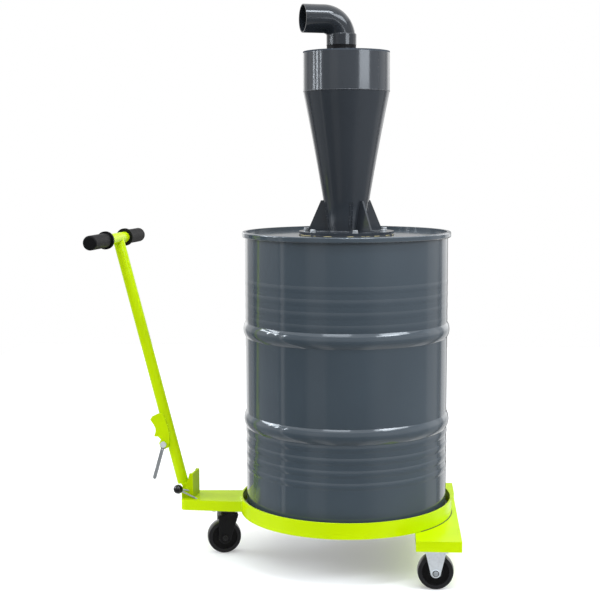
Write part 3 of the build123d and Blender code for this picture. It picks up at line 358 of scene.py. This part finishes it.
def grip_rubber(name, colour):
    """Soft rubber with shallow flutes along the bar."""
    finish = Finish(name, Specular_IOR_Level=0.12)
    core = middle("tee_bar")
    up = finish.place.dot(LEAN_UP) - core.dot(LEAN_UP)
    out = finish.place.dot(LEAN_DOWN) - core.dot(LEAN_DOWN)
    turn = up.sum("ARCTAN2", up, out) * GRIP_FLUTES
    flutes = turn.sum("SINE", turn)
    cloud = finish.noise(scale=40.0, detail=3.0)
    fine = finish.noise(scale=500.0, detail=1.0)
    finish.feed("Base Color", finish.blend(finish.step(cloud, 0.45, 0.8), shade(colour, 0.9), shade(colour, 1.9)))
    finish.feed("Roughness", 0.52 + 0.2 * (cloud - 0.5))
    finish.raise_by(flutes * 0.5 + 0.3 * fine, strength=0.25, distance=0.0006)
    return finish.material


def gasket_sheet(name, pale, dark):
    """Pale gasket sheet, smeared dark in places along its edge, with painted shade along its foot."""
    finish = Finish(name, Roughness=0.8)
    smear = finish.step(finish.noise(scale=48.0, detail=3.0), 0.46, 0.56)
    # the band along the sheet's foot is painted dark: a painted shade where it lies in shadow
    low, high = (FLANGE_LOW.z - depth for depth in GASKET_SHADED_FOOT)
    shaded_foot = 1 - finish.step(finish.height(), low, high)
    finish.feed("Base Color", finish.blend(smear.sum("MAXIMUM", smear, shaded_foot), pale, dark))
    finish.raise_by(finish.noise(scale=300.0, detail=2.0), strength=0.3, distance=0.0005)
    return finish.material


def weld_metal(name, colour):
    """Painted weld bead with ripples."""
    finish = Finish(name)
    ripple = finish.noise(scale=260.0, detail=2.0)
    finish.feed("Base Color", finish.blend(finish.step(ripple, 0.35, 0.65), shade(colour, 0.8), shade(colour, 1.2)))
    finish.feed("Roughness", 0.26 + 0.15 * (ripple - 0.5))
    finish.raise_by(ripple, strength=0.6, distance=0.0012)
    return finish.material


def pale_floor(name, colour):
    """Matt studio floor, lit a little from below, that gloss finishes do not mirror."""
    finish = Finish(name, Roughness=0.9, Emission_Strength=0.27, Emission_Color=(1, 1, 1, 1))
    cloud = finish.noise(scale=1.2, detail=2.0)
    finish.feed("Base Color", finish.blend(cloud, shade(colour, 0.995), shade(colour, 1.0)))
    place = finish.place
    mirrored = place.node("ShaderNodeLightPath", {}, {}, "Is Glossy Ray")
    clear = place.node("ShaderNodeBsdfTransparent", {}, {})
    matt = Wire(place.tree, finish.shader.outputs[0])
    both = place.node("ShaderNodeMixShader", {}, {0: mirrored, 1: matt, 2: clear})
    place.tree.links.new(both.socket, place.tree.nodes["Material Output"].inputs["Surface"])
    return finish.material


# Brightness round the studio: degrees from the front, growing to the right
WALLS = (
    (-180, 0.15), (-169, 0.15), (-165, 1.6), (-150, 1.6), (-147, 0.65), (-129, 0.56), (-127, 0.16), (-116, 0.16),
    (-114, 0.58), (-80, 0.5), (-79.5, 0.04), (-76.5, 0.04), (-76, 1.15), (-72, 1.15), (-71.5, 0.11), (-44, 0.11),
    (-40, 0.42), (-22, 0.42), (-18, 0.17), (22, 0.2), (40, 0.55), (104, 0.52), (106, 0.89), (126, 0.89),
    (128, 0.4), (138, 0.4), (140, 1.5), (162, 1.6), (167, 0.15), (180, 0.15),
)
# How the walls fade with the rise of the view: 0 straight down, 0.5 level, 1 straight up
RISE = ((0.0, 2.0), (0.1, 2.0), (0.28, 0.66), (0.48, 0.66), (0.53, 0.9), (0.66, 0.9), (0.78, 0.1), (1.0, 0.1))
# What the upper walls give all round, by the same rise
LIFT = ((0.0, 0.0), (0.445, 0.0), (0.49, 0.37), (0.7, 0.4), (0.85, 0.08), (1.0, 0.08))
# Name, turn round the drum, distance, height, height aimed at, width, height of the box, power
LAMPS = (
    ("left_box", -99, 8.0, 4.4, 0.5, 4.0, 2.1, 245),
    ("right_box", 65, 6.0, 5.4, 0.5, 4.0, 2.0, 205),
    ("top_box", -10, 4.0, 4.7, 0.5, 2.6, 1.6, 50),
    ("near_box", 20, 0.8, 2.6, 1.45, 1.2, 0.3, 20),
    ("rear_strip", -92, 3.0, 1.52, 1.52, 0.1, 0.6, 3.8),
    ("middle_strip", -80, 3.0, 1.52, 1.52, 0.14, 0.6, 5.3),
    ("front_strip", -68, 3.0, 1.52, 1.52, 0.1, 0.6, 3.8),
    ("right_panel", 48.7, 1.5, 1.52, 1.52, 0.74, 0.28, 4.4),
)
LAMP_TINT = (0.85, 0.92, 1.0)
CEILING_POWER = 2.5
CEILING_SPREAD = radians(120)
FLOOR_PLACE = (0.35, 1.7, 0)
FLOOR_SIZE = 4.6

# The camera fitted to the photograph; its turns are in degrees
LENS = 74.9
SENSOR = 36.0
FARTHEST_SIGHT = 100
CAMERA_TURN = 2.0
CAMERA_AWAY = 3.5374
CAMERA_HIGH = 1.1464
CAMERA_YAW = -4.135
CAMERA_PITCH = 6.493
CAMERA_ROLL = -0.2


def studio(name):
    """A world that the camera sees as plain white, and the object as the walls of a studio."""
    world = bpy.data.worlds.new(name)
    world.use_nodes = True
    tree = world.node_tree
    walls = tree.nodes["Background"]
    way = Wire(tree, tree.nodes.new("ShaderNodeTexCoord").outputs["Generated"])
    east, north, rise = (way.node("ShaderNodeSeparateXYZ", {}, {0: way}, axis) for axis in range(3))
    turn = way.sum("ARCTAN2", east, 0 - north) / tau + 0.5
    stops = [(place / 360 + 0.5, bright) for place, bright in WALLS]
    ring = way.node("ShaderNodeValToRGB", {"stops": stops}, {0: turn})
    level = way.node("ShaderNodeValToRGB", {"stops": RISE}, {0: rise * 0.5 + 0.5})
    lift = way.node("ShaderNodeValToRGB", {"stops": LIFT}, {0: rise * 0.5 + 0.5})
    tree.links.new((ring * level + lift).socket, walls.inputs["Color"])
    plain = tree.nodes.new("ShaderNodeBackground")
    plain.inputs["Color"].default_value = (1, 1, 1, 1)
    seen = Wire(tree, tree.nodes.new("ShaderNodeLightPath").outputs["Is Camera Ray"])
    shaders = {0: seen, 1: Wire(tree, walls.outputs[0]), 2: Wire(tree, plain.outputs[0])}
    both = way.node("ShaderNodeMixShader", {}, shaders)
    tree.links.new(both.socket, tree.nodes["World Output"].inputs["Surface"])
    return world


def photo_view():
    """Where the camera stands and how it is turned."""
    turn, yaw = radians(CAMERA_TURN), radians(CAMERA_YAW)
    pitch, roll = radians(CAMERA_PITCH), radians(CAMERA_ROLL)
    forward = Vector((sin(yaw) * cos(pitch), cos(yaw) * cos(pitch), -sin(pitch)))
    level = Vector((cos(yaw), -sin(yaw), 0))
    upward = level.cross(forward)
    right = level * cos(roll) + upward * sin(roll)
    up = upward * cos(roll) - level * sin(roll)
    stand = Vector((DRUM.x + CAMERA_AWAY * sin(turn), -CAMERA_AWAY * cos(turn), CAMERA_HIGH))
    return Matrix.Translation(stand) @ Matrix((right, up, -forward)).transposed().to_4x4()


# Modelling by operators

WASHER_SIDES = 28
CAP_SIDES = 24
BEAD_SIDES = 8
HOOP_SEGMENTS = 160
RIPPLE_SCALE = 0.006
BEAD_ANGLE = radians(60)
BOLT_ANGLE = radians(25)


def fresh():
    """Object mode with nothing selected."""
    if bpy.context.object and bpy.context.object.mode != "OBJECT":
        bpy.ops.object.mode_set(mode="OBJECT")
    bpy.ops.object.select_all(action="DESELECT")


def only(piece):
    """Object mode with one piece selected and active."""
    fresh()
    piece.select_set(True)
    bpy.context.view_layer.objects.active = piece


def pick_top(piece):
    """Edit mode with the faces selected that look up."""
    only(piece)
    bpy.ops.object.mode_set(mode="EDIT")
    bpy.ops.mesh.select_mode(type="FACE")
    bpy.ops.mesh.select_all(action="DESELECT")
    bpy.ops.object.mode_set(mode="OBJECT")
    for face in piece.data.polygons:
        face.select = face.normal.z > 0.9
    bpy.ops.object.mode_set(mode="EDIT")


def soften(piece, width, angle):
    """Rounds the sharp edges with a bevel and smooths the shading."""
    only(piece)
    bevel = piece.modifiers.new("Bevel", "BEVEL")
    bevel.width = width
    bevel.segments = 2
    bevel.limit_method = "ANGLE"
    bevel.angle_limit = angle
    bpy.ops.object.modifier_apply(modifier=bevel.name)
    bpy.ops.object.shade_smooth_by_angle(angle=angle)


def settle(piece, name):
    """Applies place, turn and size, so that the object sits at the origin."""
    only(piece)
    bpy.ops.object.transform_apply(location=True, rotation=True, scale=True)
    piece.name = name
    piece.data.name = name
    return piece


def joined(pieces, name):
    """Several pieces made into one."""
    fresh()
    for piece in pieces:
        piece.select_set(True)
    bpy.context.view_layer.objects.active = pieces[0]
    bpy.ops.object.join()
    return settle(pieces[0], name)


def face_along(piece, place, direction, spin=0.0):
    """Stands a piece that was made along Z at a place, along a direction."""
    turn = Vector(direction).to_track_quat("Z", "Y").to_matrix().to_4x4()
    piece.matrix_world = Matrix.Translation(place) @ turn @ Matrix.Rotation(spin, 4, "Z")


def copies(master, places, name):
    """Copies a master to each (place, direction, spin), joins them to one piece and removes the master."""
    made = []
    for place, direction, spin in places:
        copy = master.copy()
        copy.data = master.data.copy()
        bpy.context.scene.collection.objects.link(copy)
        face_along(copy, place, direction, spin)
        only(copy)
        bpy.ops.object.transform_apply(location=True, rotation=True, scale=True)
        made.append(copy)
    bpy.data.objects.remove(master)
    return joined(made, name)


def dress(piece, body, material):
    """Gives a finished piece its material and hangs it on its body."""
    piece.data.materials.clear()
    piece.data.materials.append(bpy.data.materials[material])
    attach(piece, body)


def bolt_head(across, head, washer_radius, washer_sheet, sides=6):
    """A bolt head on its washer, standing along Z from 0: a hexagon, or round with more sides."""
    fresh()
    bpy.ops.mesh.primitive_cylinder_add(
        vertices=WASHER_SIDES, radius=washer_radius, depth=washer_sheet, location=(0, 0, washer_sheet / 2)
    )
    washer = bpy.context.object
    pick_top(washer)
    bpy.ops.mesh.inset(thickness=washer_radius * 0.12, depth=washer_sheet * 0.2)
    fresh()
    bpy.ops.mesh.primitive_cylinder_add(
        vertices=sides, radius=across / 2 / cos(pi / sides), depth=head, location=(0, 0, washer_sheet + head / 2)
    )
    bolt = bpy.context.object
    pick_top(bolt)
    bpy.ops.mesh.inset(thickness=across * 0.09, depth=0)
    bpy.ops.transform.translate(value=(0, 0, head * 0.14))
    bpy.ops.mesh.inset(thickness=across * 0.06, depth=-head * 0.05)
    bpy.ops.object.mode_set(mode="OBJECT")
    soften(bolt, across * 0.03, BOLT_ANGLE)
    return joined([bolt, washer], "bolt_master")


def bead(points, radius, name):
    """A weld bead: a round face extruded along points."""
    fresh()
    bpy.ops.mesh.primitive_circle_add(vertices=BEAD_SIDES, radius=radius, fill_type="NGON")
    piece = bpy.context.object
    face_along(piece, points[0], points[1] - points[0])
    settle(piece, name)
    bpy.ops.object.mode_set(mode="EDIT")
    bpy.ops.mesh.select_all(action="SELECT")
    for before, after in zip(points, points[1:]):
        bpy.ops.mesh.extrude_region_move(TRANSFORM_OT_translate={"value": tuple(after - before)})
    bpy.ops.mesh.select_all(action="SELECT")
    bpy.ops.mesh.normals_make_consistent(inside=False)
    bpy.ops.object.mode_set(mode="OBJECT")
    bpy.ops.object.shade_smooth_by_angle(angle=BEAD_ANGLE)
    return piece


def hoop_bead(radius, minor, height, name):
    """A rippled weld bead that runs round the drum's axis."""
    fresh()
    bpy.ops.mesh.primitive_torus_add(
        major_radius=radius,
        minor_radius=minor,
        major_segments=HOOP_SEGMENTS,
        minor_segments=BEAD_SIDES,
        location=(DRUM.x, DRUM.y, height),
    )
    piece = bpy.context.object
    ripple = bpy.data.textures.new(name, "CLOUDS")
    ripple.noise_scale = RIPPLE_SCALE
    bump = piece.modifiers.new("Ripple", "DISPLACE")
    bump.texture = ripple
    bump.texture_coords = "LOCAL"
    bump.strength = minor * 0.7
    only(piece)
    bpy.ops.object.modifier_apply(modifier=bump.name)
    bpy.ops.object.shade_smooth_by_angle(angle=BEAD_ANGLE)
    return settle(piece, name)


# User settings

class SeparatorSizes(bpy.types.PropertyGroup):
    """Sizes of the small pieces."""

    bolt_across: bpy.props.FloatProperty(
        name="Flange bolt",
        description="Width of a flange bolt's head across its flats",
        default=0.013, min=0.005, unit="LENGTH", subtype="DISTANCE",
    )
    bolt_circle: bpy.props.FloatProperty(
        name="Bolt circle",
        description="Radius of the circle of flange bolts",
        default=0.118, min=0.1, unit="LENGTH", subtype="DISTANCE",
    )
    bead_radius: bpy.props.FloatProperty(
        name="Weld bead",
        description="Radius of the weld beads",
        default=0.0022, min=0.0005, unit="LENGTH", subtype="DISTANCE",
    )
    cap_across: bpy.props.FloatProperty(
        name="Axle cap",
        description="Width of an axle cap, and of a swivel plate bolt across its flats",
        default=0.013, min=0.004, unit="LENGTH", subtype="DISTANCE",
    )


class SeparatorColours(bpy.types.PropertyGroup):
    """Colours of the finishes."""

    drum: bpy.props.FloatVectorProperty(
        name="Drum", description="Enamel of the drum",
        subtype="COLOR", size=3, min=0, max=1, default=(0.052, 0.069, 0.085),
    )
    cyclone: bpy.props.FloatVectorProperty(
        name="Cyclone", description="Powder coat of the cyclone",
        subtype="COLOR", size=3, min=0, max=1, default=(0.03, 0.035, 0.042),
    )
    lime: bpy.props.FloatVectorProperty(
        name="Dolly", description="Powder coat of the dolly",
        subtype="COLOR", size=3, min=0, max=1, default=(0.5, 0.69, 0.0),
    )
    zinc: bpy.props.FloatVectorProperty(
        name="Zinc", description="Plated forks, pins and bolts",
        subtype="COLOR", size=3, min=0, max=1, default=(0.75, 0.785, 0.815),
    )
    black: bpy.props.FloatVectorProperty(
        name="Black", description="Wheels, grips, knob and caster fork",
        subtype="COLOR", size=3, min=0, max=1, default=(0.0045, 0.0045, 0.005),
    )
    pipe: bpy.props.FloatVectorProperty(
        name="Pipe", description="Plastic of the elbow",
        subtype="COLOR", size=3, min=0, max=1, default=(0.016, 0.019, 0.023),
    )
    gasket: bpy.props.FloatVectorProperty(
        name="Gasket", description="Sheet under the flange",
        subtype="COLOR", size=3, min=0, max=1, default=(0.5, 0.43, 0.22),
    )
    floor: bpy.props.FloatVectorProperty(
        name="Floor", description="Studio floor",
        subtype="COLOR", size=3, min=0, max=1, default=(0.74, 0.74, 0.74),
    )


# Rubbed edges of the painted pieces, lighter than the paint: partly wear, partly a painted highlight; and the dark
# of the gasket, smears in places and painted shade along its foot
LIME_EDGE_HIGHLIGHT = (0.58, 0.79, 0.015, 1.0)
BRACKET_EDGE_HIGHLIGHT = (0.5, 0.7, 0.01, 1.0)
BLACK_EDGE_HIGHLIGHT = (0.05, 0.05, 0.053, 1.0)
GASKET_SMEAR_AND_SHADE = (0.03, 0.03, 0.03, 1.0)


# Operators

class SEPARATOR_OT_finishes(bpy.types.Operator):
    """Makes the materials and gives them to the modelled pieces"""

    bl_idname = "separator.finishes"
    bl_label = "Finishes"

    def execute(self, context):
        colours = context.scene.separator_colours
        made = {
            "drum_paint": drum_coat("drum_paint", colours.drum),
            "cyclone_paint": painted(
                "cyclone_paint", colours.cyclone, roughness=0.16, peel=0.06, peel_scale=420.0, gloss=0.5,
                edge=shade(colours.cyclone, 2.2),
            ),
            "lime_paint": painted(
                "lime_paint", colours.lime, roughness=0.22, peel=0.05, peel_scale=240.0, gloss=0.14, edge=LIME_EDGE_HIGHLIGHT
            ),
            "zinc": zinc_plate("zinc", colours.zinc),
            "black_metal": painted(
                "black_metal", shade(colours.black, 1.5), roughness=0.24, peel=0.08, peel_scale=300.0, gloss=0.45,
                edge=BLACK_EDGE_HIGHLIGHT,
            ),
            "wheel_plastic": caster_wheel("near_wheel_plastic", colours.black, "near_wheel", FIXED_AXLE),
            "knob_plastic": black_plastic("knob_plastic", colours.black, roughness=0.16, gloss=0.5),
            "pipe_plastic": pipe_plastic("pipe_plastic", colours.pipe),
            "black_rubber": grip_rubber("black_rubber", colours.black),
            "gasket_rubber": gasket_sheet("gasket_rubber", shade(colours.gasket, 1.0), GASKET_SMEAR_AND_SHADE),
        }
        for entry in frame["record"]["subparts"]:
            node = frame["nodes"][entry["node"]]
            node.data.materials.clear()
            node.data.materials.append(made[entry["material_slot"]])
        own = {
            "far_wheel": caster_wheel("far_wheel_plastic", colours.black, "far_wheel", FIXED_AXLE),
            "swivel_wheel": caster_wheel("swivel_wheel_plastic", colours.black, "swivel_wheel", CASTER_AXLE),
            # the bracket's lime is a darker, matt copy of the dolly's: painted shade on its faces
            "drawbar_bracket": painted(
                "bracket_paint", shade(colours.lime, 0.8), roughness=0.4, peel=0.05, peel_scale=240.0, gloss=0.03,
                edge=BRACKET_EDGE_HIGHLIGHT,
            ),
            # the roof is matt, and its colour is made lighter than the body's: a painted sheen in place of the
            # gloss it lacks
            "cyclone_roof": painted(
                "roof_paint", shade(colours.cyclone, 1.8), roughness=0.6, peel=0.06, peel_scale=420.0, gloss=0.0,
                edge=shade(colours.cyclone, 2.4),
            ),
            "lock_prongs": zinc_plate("bolt_steel", shade(colours.zinc, 0.5)),
            "latch_lever": zinc_plate("lever_steel", shade(colours.zinc, 0.4)),
        }
        for name, material in own.items():
            frame["nodes"][name].data.materials[0] = material
        weld_metal("cyclone_weld", colours.cyclone)
        weld_metal("lime_weld", colours.lime)
        return {"FINISHED"}


class SEPARATOR_OT_flange_bolts(bpy.types.Operator):
    """Puts hexagon bolts with washers round the cyclone's flange"""

    bl_idname = "separator.flange_bolts"
    bl_label = "Flange bolts"

    def execute(self, context):
        sizes = context.scene.separator_sizes
        across = sizes.bolt_across
        master = bolt_head(across, head=across * 0.45, washer_radius=across * 0.64, washer_sheet=FLANGE_WASHER)
        places = []
        for count, turn in enumerate(FLANGE_BOLT_TURNS):
            places.append((round_axis(turn, sizes.bolt_circle, FLANGE_HIGH.z), UP, count * FLANGE_BOLT_SPIN))
        dress(copies(master, places, "flange_bolts"), "chassis", "bolt_steel")
        return {"FINISHED"}


class SEPARATOR_OT_welds(bpy.types.Operator):
    """Lays the weld beads of the cyclone"""

    bl_idname = "separator.welds"
    bl_label = "Welds"

    def execute(self, context):
        radius = context.scene.separator_sizes.bead_radius
        girth = hoop_bead(BARREL_RADIUS - GIRTH_SINK, radius * 0.7, BARREL_LOW.z, "girth_weld")
        dress(girth, "chassis", "cyclone_weld")
        foot = hoop_bead(FOOT_WELD_RADIUS, radius, FLANGE_HIGH.z, "cone_foot_weld")
        dress(foot, "chassis", "cyclone_weld")
        start = round_axis(SEAM_TURN, BARREL_RADIUS - SEAM_SINK, BARREL_LOW.z)
        seam = bead(between(start, start + UP * SEAM_LENGTH, count=10), radius * 0.45, "barrel_seam")
        dress(seam, "chassis", "cyclone_weld")
        fillets = []
        for side in (-GUSSET_HALF, GUSSET_HALF):
            inside, outside = Vector((side, -GUSSET_INSIDE, 0)), Vector((side, -GUSSET_OUTSIDE, 0))
            fillets.append(bead(between(inside, outside, count=8), radius, "gusset_foot"))
            rises = [step * GUSSET_WELD_STEP for step in range(1, GUSSET_WELD_STEPS + 1)]
            slope = [Vector((side, -cone_radius(rise), rise)) for rise in rises]
            fillets.append(bead(slope, radius * 0.8, "gusset_side"))
        axis = Vector((DRUM.x, DRUM.y, FLANGE_HIGH.z))
        places = [(axis, UP, radians(turn)) for turn in GUSSET_TURNS]
        fillets = copies(joined(fillets, "gusset_fillets"), places, "gusset_welds")
        dress(fillets, "chassis", "cyclone_weld")
        return {"FINISHED"}


class SEPARATOR_OT_dolly_welds(bpy.types.Operator):
    """Lays the weld beads of the tongue and of the latch plate, and a dark bead between ring and cross-beam that is
    a painted shadow of the gap there
    """

    bl_idname = "separator.dolly_welds"
    bl_label = "Dolly welds"

    def execute(self, context):
        radius = context.scene.separator_sizes.bead_radius
        ring_low, ring_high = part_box("dolly_ring")
        ring = (ring_high.y - ring_low.y) / 2
        tongue_low, tongue_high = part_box("dolly_tongue")
        beads = [bead(arc(TONGUE_TURNS, ring, tongue_high.z, count=20), radius, "tongue_top")]
        for turn in TONGUE_TURNS:
            foot, head = round_axis(turn, ring, tongue_low.z), round_axis(turn, ring, tongue_high.z)
            beads.append(bead(between(foot, head, count=5), radius, "tongue_side"))
        dress(joined(beads, "tongue_welds"), "chassis", "lime_weld")
        beam_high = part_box("cross_beam")[1]
        # a dark bead along the ring's foot over the cross-beam: a painted shadow standing in for the gap between
        # them
        joint = arc(GAP_SHADOW_TURNS, ring + GAP_SHADOW_OUT, beam_high.z + GAP_SHADOW_UP, count=30)
        dress(bead(joint, GAP_SHADOW_RADIUS, "ring_joint"), "chassis", "black_metal")
        edge = [on_drawbar(out, up, LATCH_ASIDE) for out, up in LATCH_EDGE]
        dress(bead(edge, radius * 0.7, "latch_weld"), "drawbar", "lime_weld")
        return {"FINISHED"}


class SEPARATOR_OT_axle_caps(bpy.types.Operator):
    """Puts the round caps on the wheel axles, each on a thin black ring that is a painted shadow of the recess
    round the cap
    """

    bl_idname = "separator.axle_caps"
    bl_label = "Axle caps"

    def execute(self, context):
        across = context.scene.separator_sizes.cap_across
        for node, body, way, slot in (
            ("near_axle", "chassis", FIXED_AXLE, "zinc"),
            ("far_axle", "chassis", FIXED_AXLE, "zinc"),
            ("swivel_axle", "caster", CASTER_AXLE, "black_metal"),
        ):
            centre = middle(node)
            half = max((vertex.co - centre).dot(way) for vertex in frame["nodes"][node].data.vertices)
            places = [(centre + way * half, way, CAP_SPIN), (centre - way * half, -way, FAR_CAP_SPIN)]
            cap = bolt_head(
                across, head=across * 0.2, washer_radius=across * 0.6, washer_sheet=0.0006, sides=CAP_SIDES
            )
            dress(copies(cap, places, node + "_caps"), body, slot)
            # a thin black ring under each cap: a painted shadow standing in for the recess round the axle end
            ring = bolt_head(
                across * 1.3, head=0.0004, washer_radius=across * 0.67, washer_sheet=0.0003, sides=CAP_SIDES
            )
            dress(copies(ring, places, node + "_rings"), body, "black_metal")
        return {"FINISHED"}


class SEPARATOR_OT_caster_bolts(bpy.types.Operator):
    """Puts the bolts that hold the caster plates, their heads below"""

    bl_idname = "separator.caster_bolts"
    bl_label = "Caster bolts"

    def execute(self, context):
        across = context.scene.separator_sizes.cap_across
        low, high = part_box("swivel_plate")
        places = []
        for x in (low.x + PLATE_BOLT_INSET, high.x - PLATE_BOLT_INSET):
            for y in (low.y + PLATE_BOLT_INSET, high.y - PLATE_BOLT_INSET):
                places.append((Vector((x, y, high.z - CASTER_SHEET)), -UP, CASTER_BOLT_SPIN))
        master = bolt_head(across, head=across * 0.35, washer_radius=across * 0.62, washer_sheet=0.001)
        dress(copies(master, places, "swivel_plate_bolts"), "chassis", "zinc")
        for node in ("near_fork", "far_fork"):
            low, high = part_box(node)
            places = []
            for x in (low.x + FORK_BOLT_INSET, high.x - FORK_BOLT_INSET):
                place = Vector((x, (low.y + high.y) / 2, high.z - CASTER_SHEET))
                places.append((place, -UP, CASTER_BOLT_SPIN))
            dress(copies(bolt_head(**FORK_BOLT), places, node + "_bolts"), "chassis", "zinc")
        return {"FINISHED"}


class SEPARATOR_OT_stage(bpy.types.Operator):
    """Sets the pale floor, the soft lights and the camera"""

    bl_idname = "separator.stage"
    bl_label = "Stage"

    def execute(self, context):
        scene = context.scene
        fresh()
        bpy.ops.mesh.primitive_plane_add(size=FLOOR_SIZE, location=FLOOR_PLACE)
        floor = settle(bpy.context.object, "studio_floor")
        floor.data.materials.append(pale_floor("studio_floor", scene.separator_colours.floor))
        scene.world = studio("studio")
        for name, turn, distance, height, aim, width, tall, power in LAMPS:
            lamp = bpy.data.lights.new(name, "AREA")
            lamp.energy = power
            lamp.color = LAMP_TINT
            lamp.shape = "RECTANGLE"
            lamp.size = width
            lamp.size_y = tall
            light = bpy.data.objects.new(name, lamp)
            scene.collection.objects.link(light)
            light.location = round_axis(turn, distance, height)
            target = Vector((DRUM.x, DRUM.y, aim))
            light.rotation_euler = (target - light.location).to_track_quat("-Z", "Y").to_euler()
        ceiling = bpy.data.lights.new("ceiling", "SUN")
        ceiling.energy = CEILING_POWER
        ceiling.angle = CEILING_SPREAD
        scene.collection.objects.link(bpy.data.objects.new("ceiling", ceiling))
        lens = bpy.data.cameras.new("photo_camera")
        lens.sensor_width = SENSOR
        lens.lens = LENS
        lens.clip_end = FARTHEST_SIGHT
        camera = bpy.data.objects.new("photo_camera", lens)
        scene.collection.objects.link(camera)
        camera.matrix_world = photo_view()
        scene.camera = camera
        scene.view_settings.view_transform = "Standard"
        return {"FINISHED"}


class SEPARATOR_PT_panel(bpy.types.Panel):
    """Sidebar panel with the settings and the steps"""

    bl_idname = "SEPARATOR_PT_panel"
    bl_label = "Separator"
    bl_space_type = "VIEW_3D"
    bl_region_type = "UI"
    bl_category = "Separator"

    def draw(self, context):
        column = self.layout.column()
        for group in (context.scene.separator_sizes, context.scene.separator_colours):
            for key in group.__annotations__:
                column.prop(group, key)
        for step in STEPS:
            column.operator(step.bl_idname)


STEPS = (
    SEPARATOR_OT_finishes,
    SEPARATOR_OT_flange_bolts,
    SEPARATOR_OT_welds,
    SEPARATOR_OT_dolly_welds,
    SEPARATOR_OT_axle_caps,
    SEPARATOR_OT_caster_bolts,
    SEPARATOR_OT_stage,
)
CLASSES = (SeparatorSizes, SeparatorColours, *STEPS, SEPARATOR_PT_panel)


def register():
    for entry in CLASSES:
        bpy.utils.register_class(entry)
    bpy.types.Scene.separator_sizes = bpy.props.PointerProperty(type=SeparatorSizes)
    bpy.types.Scene.separator_colours = bpy.props.PointerProperty(type=SeparatorColours)


def unregister():
    del bpy.types.Scene.separator_colours
    del bpy.types.Scene.separator_sizes
    for entry in reversed(CLASSES):
        bpy.utils.unregister_class(entry)


def main():
    register()
    bpy.ops.separator.finishes()
    bpy.ops.separator.flange_bolts()
    bpy.ops.separator.welds()
    bpy.ops.separator.dolly_welds()
    bpy.ops.separator.axle_caps()
    bpy.ops.separator.caster_bolts()
    bpy.ops.separator.stage()


if __name__ == "__main__":
    main()
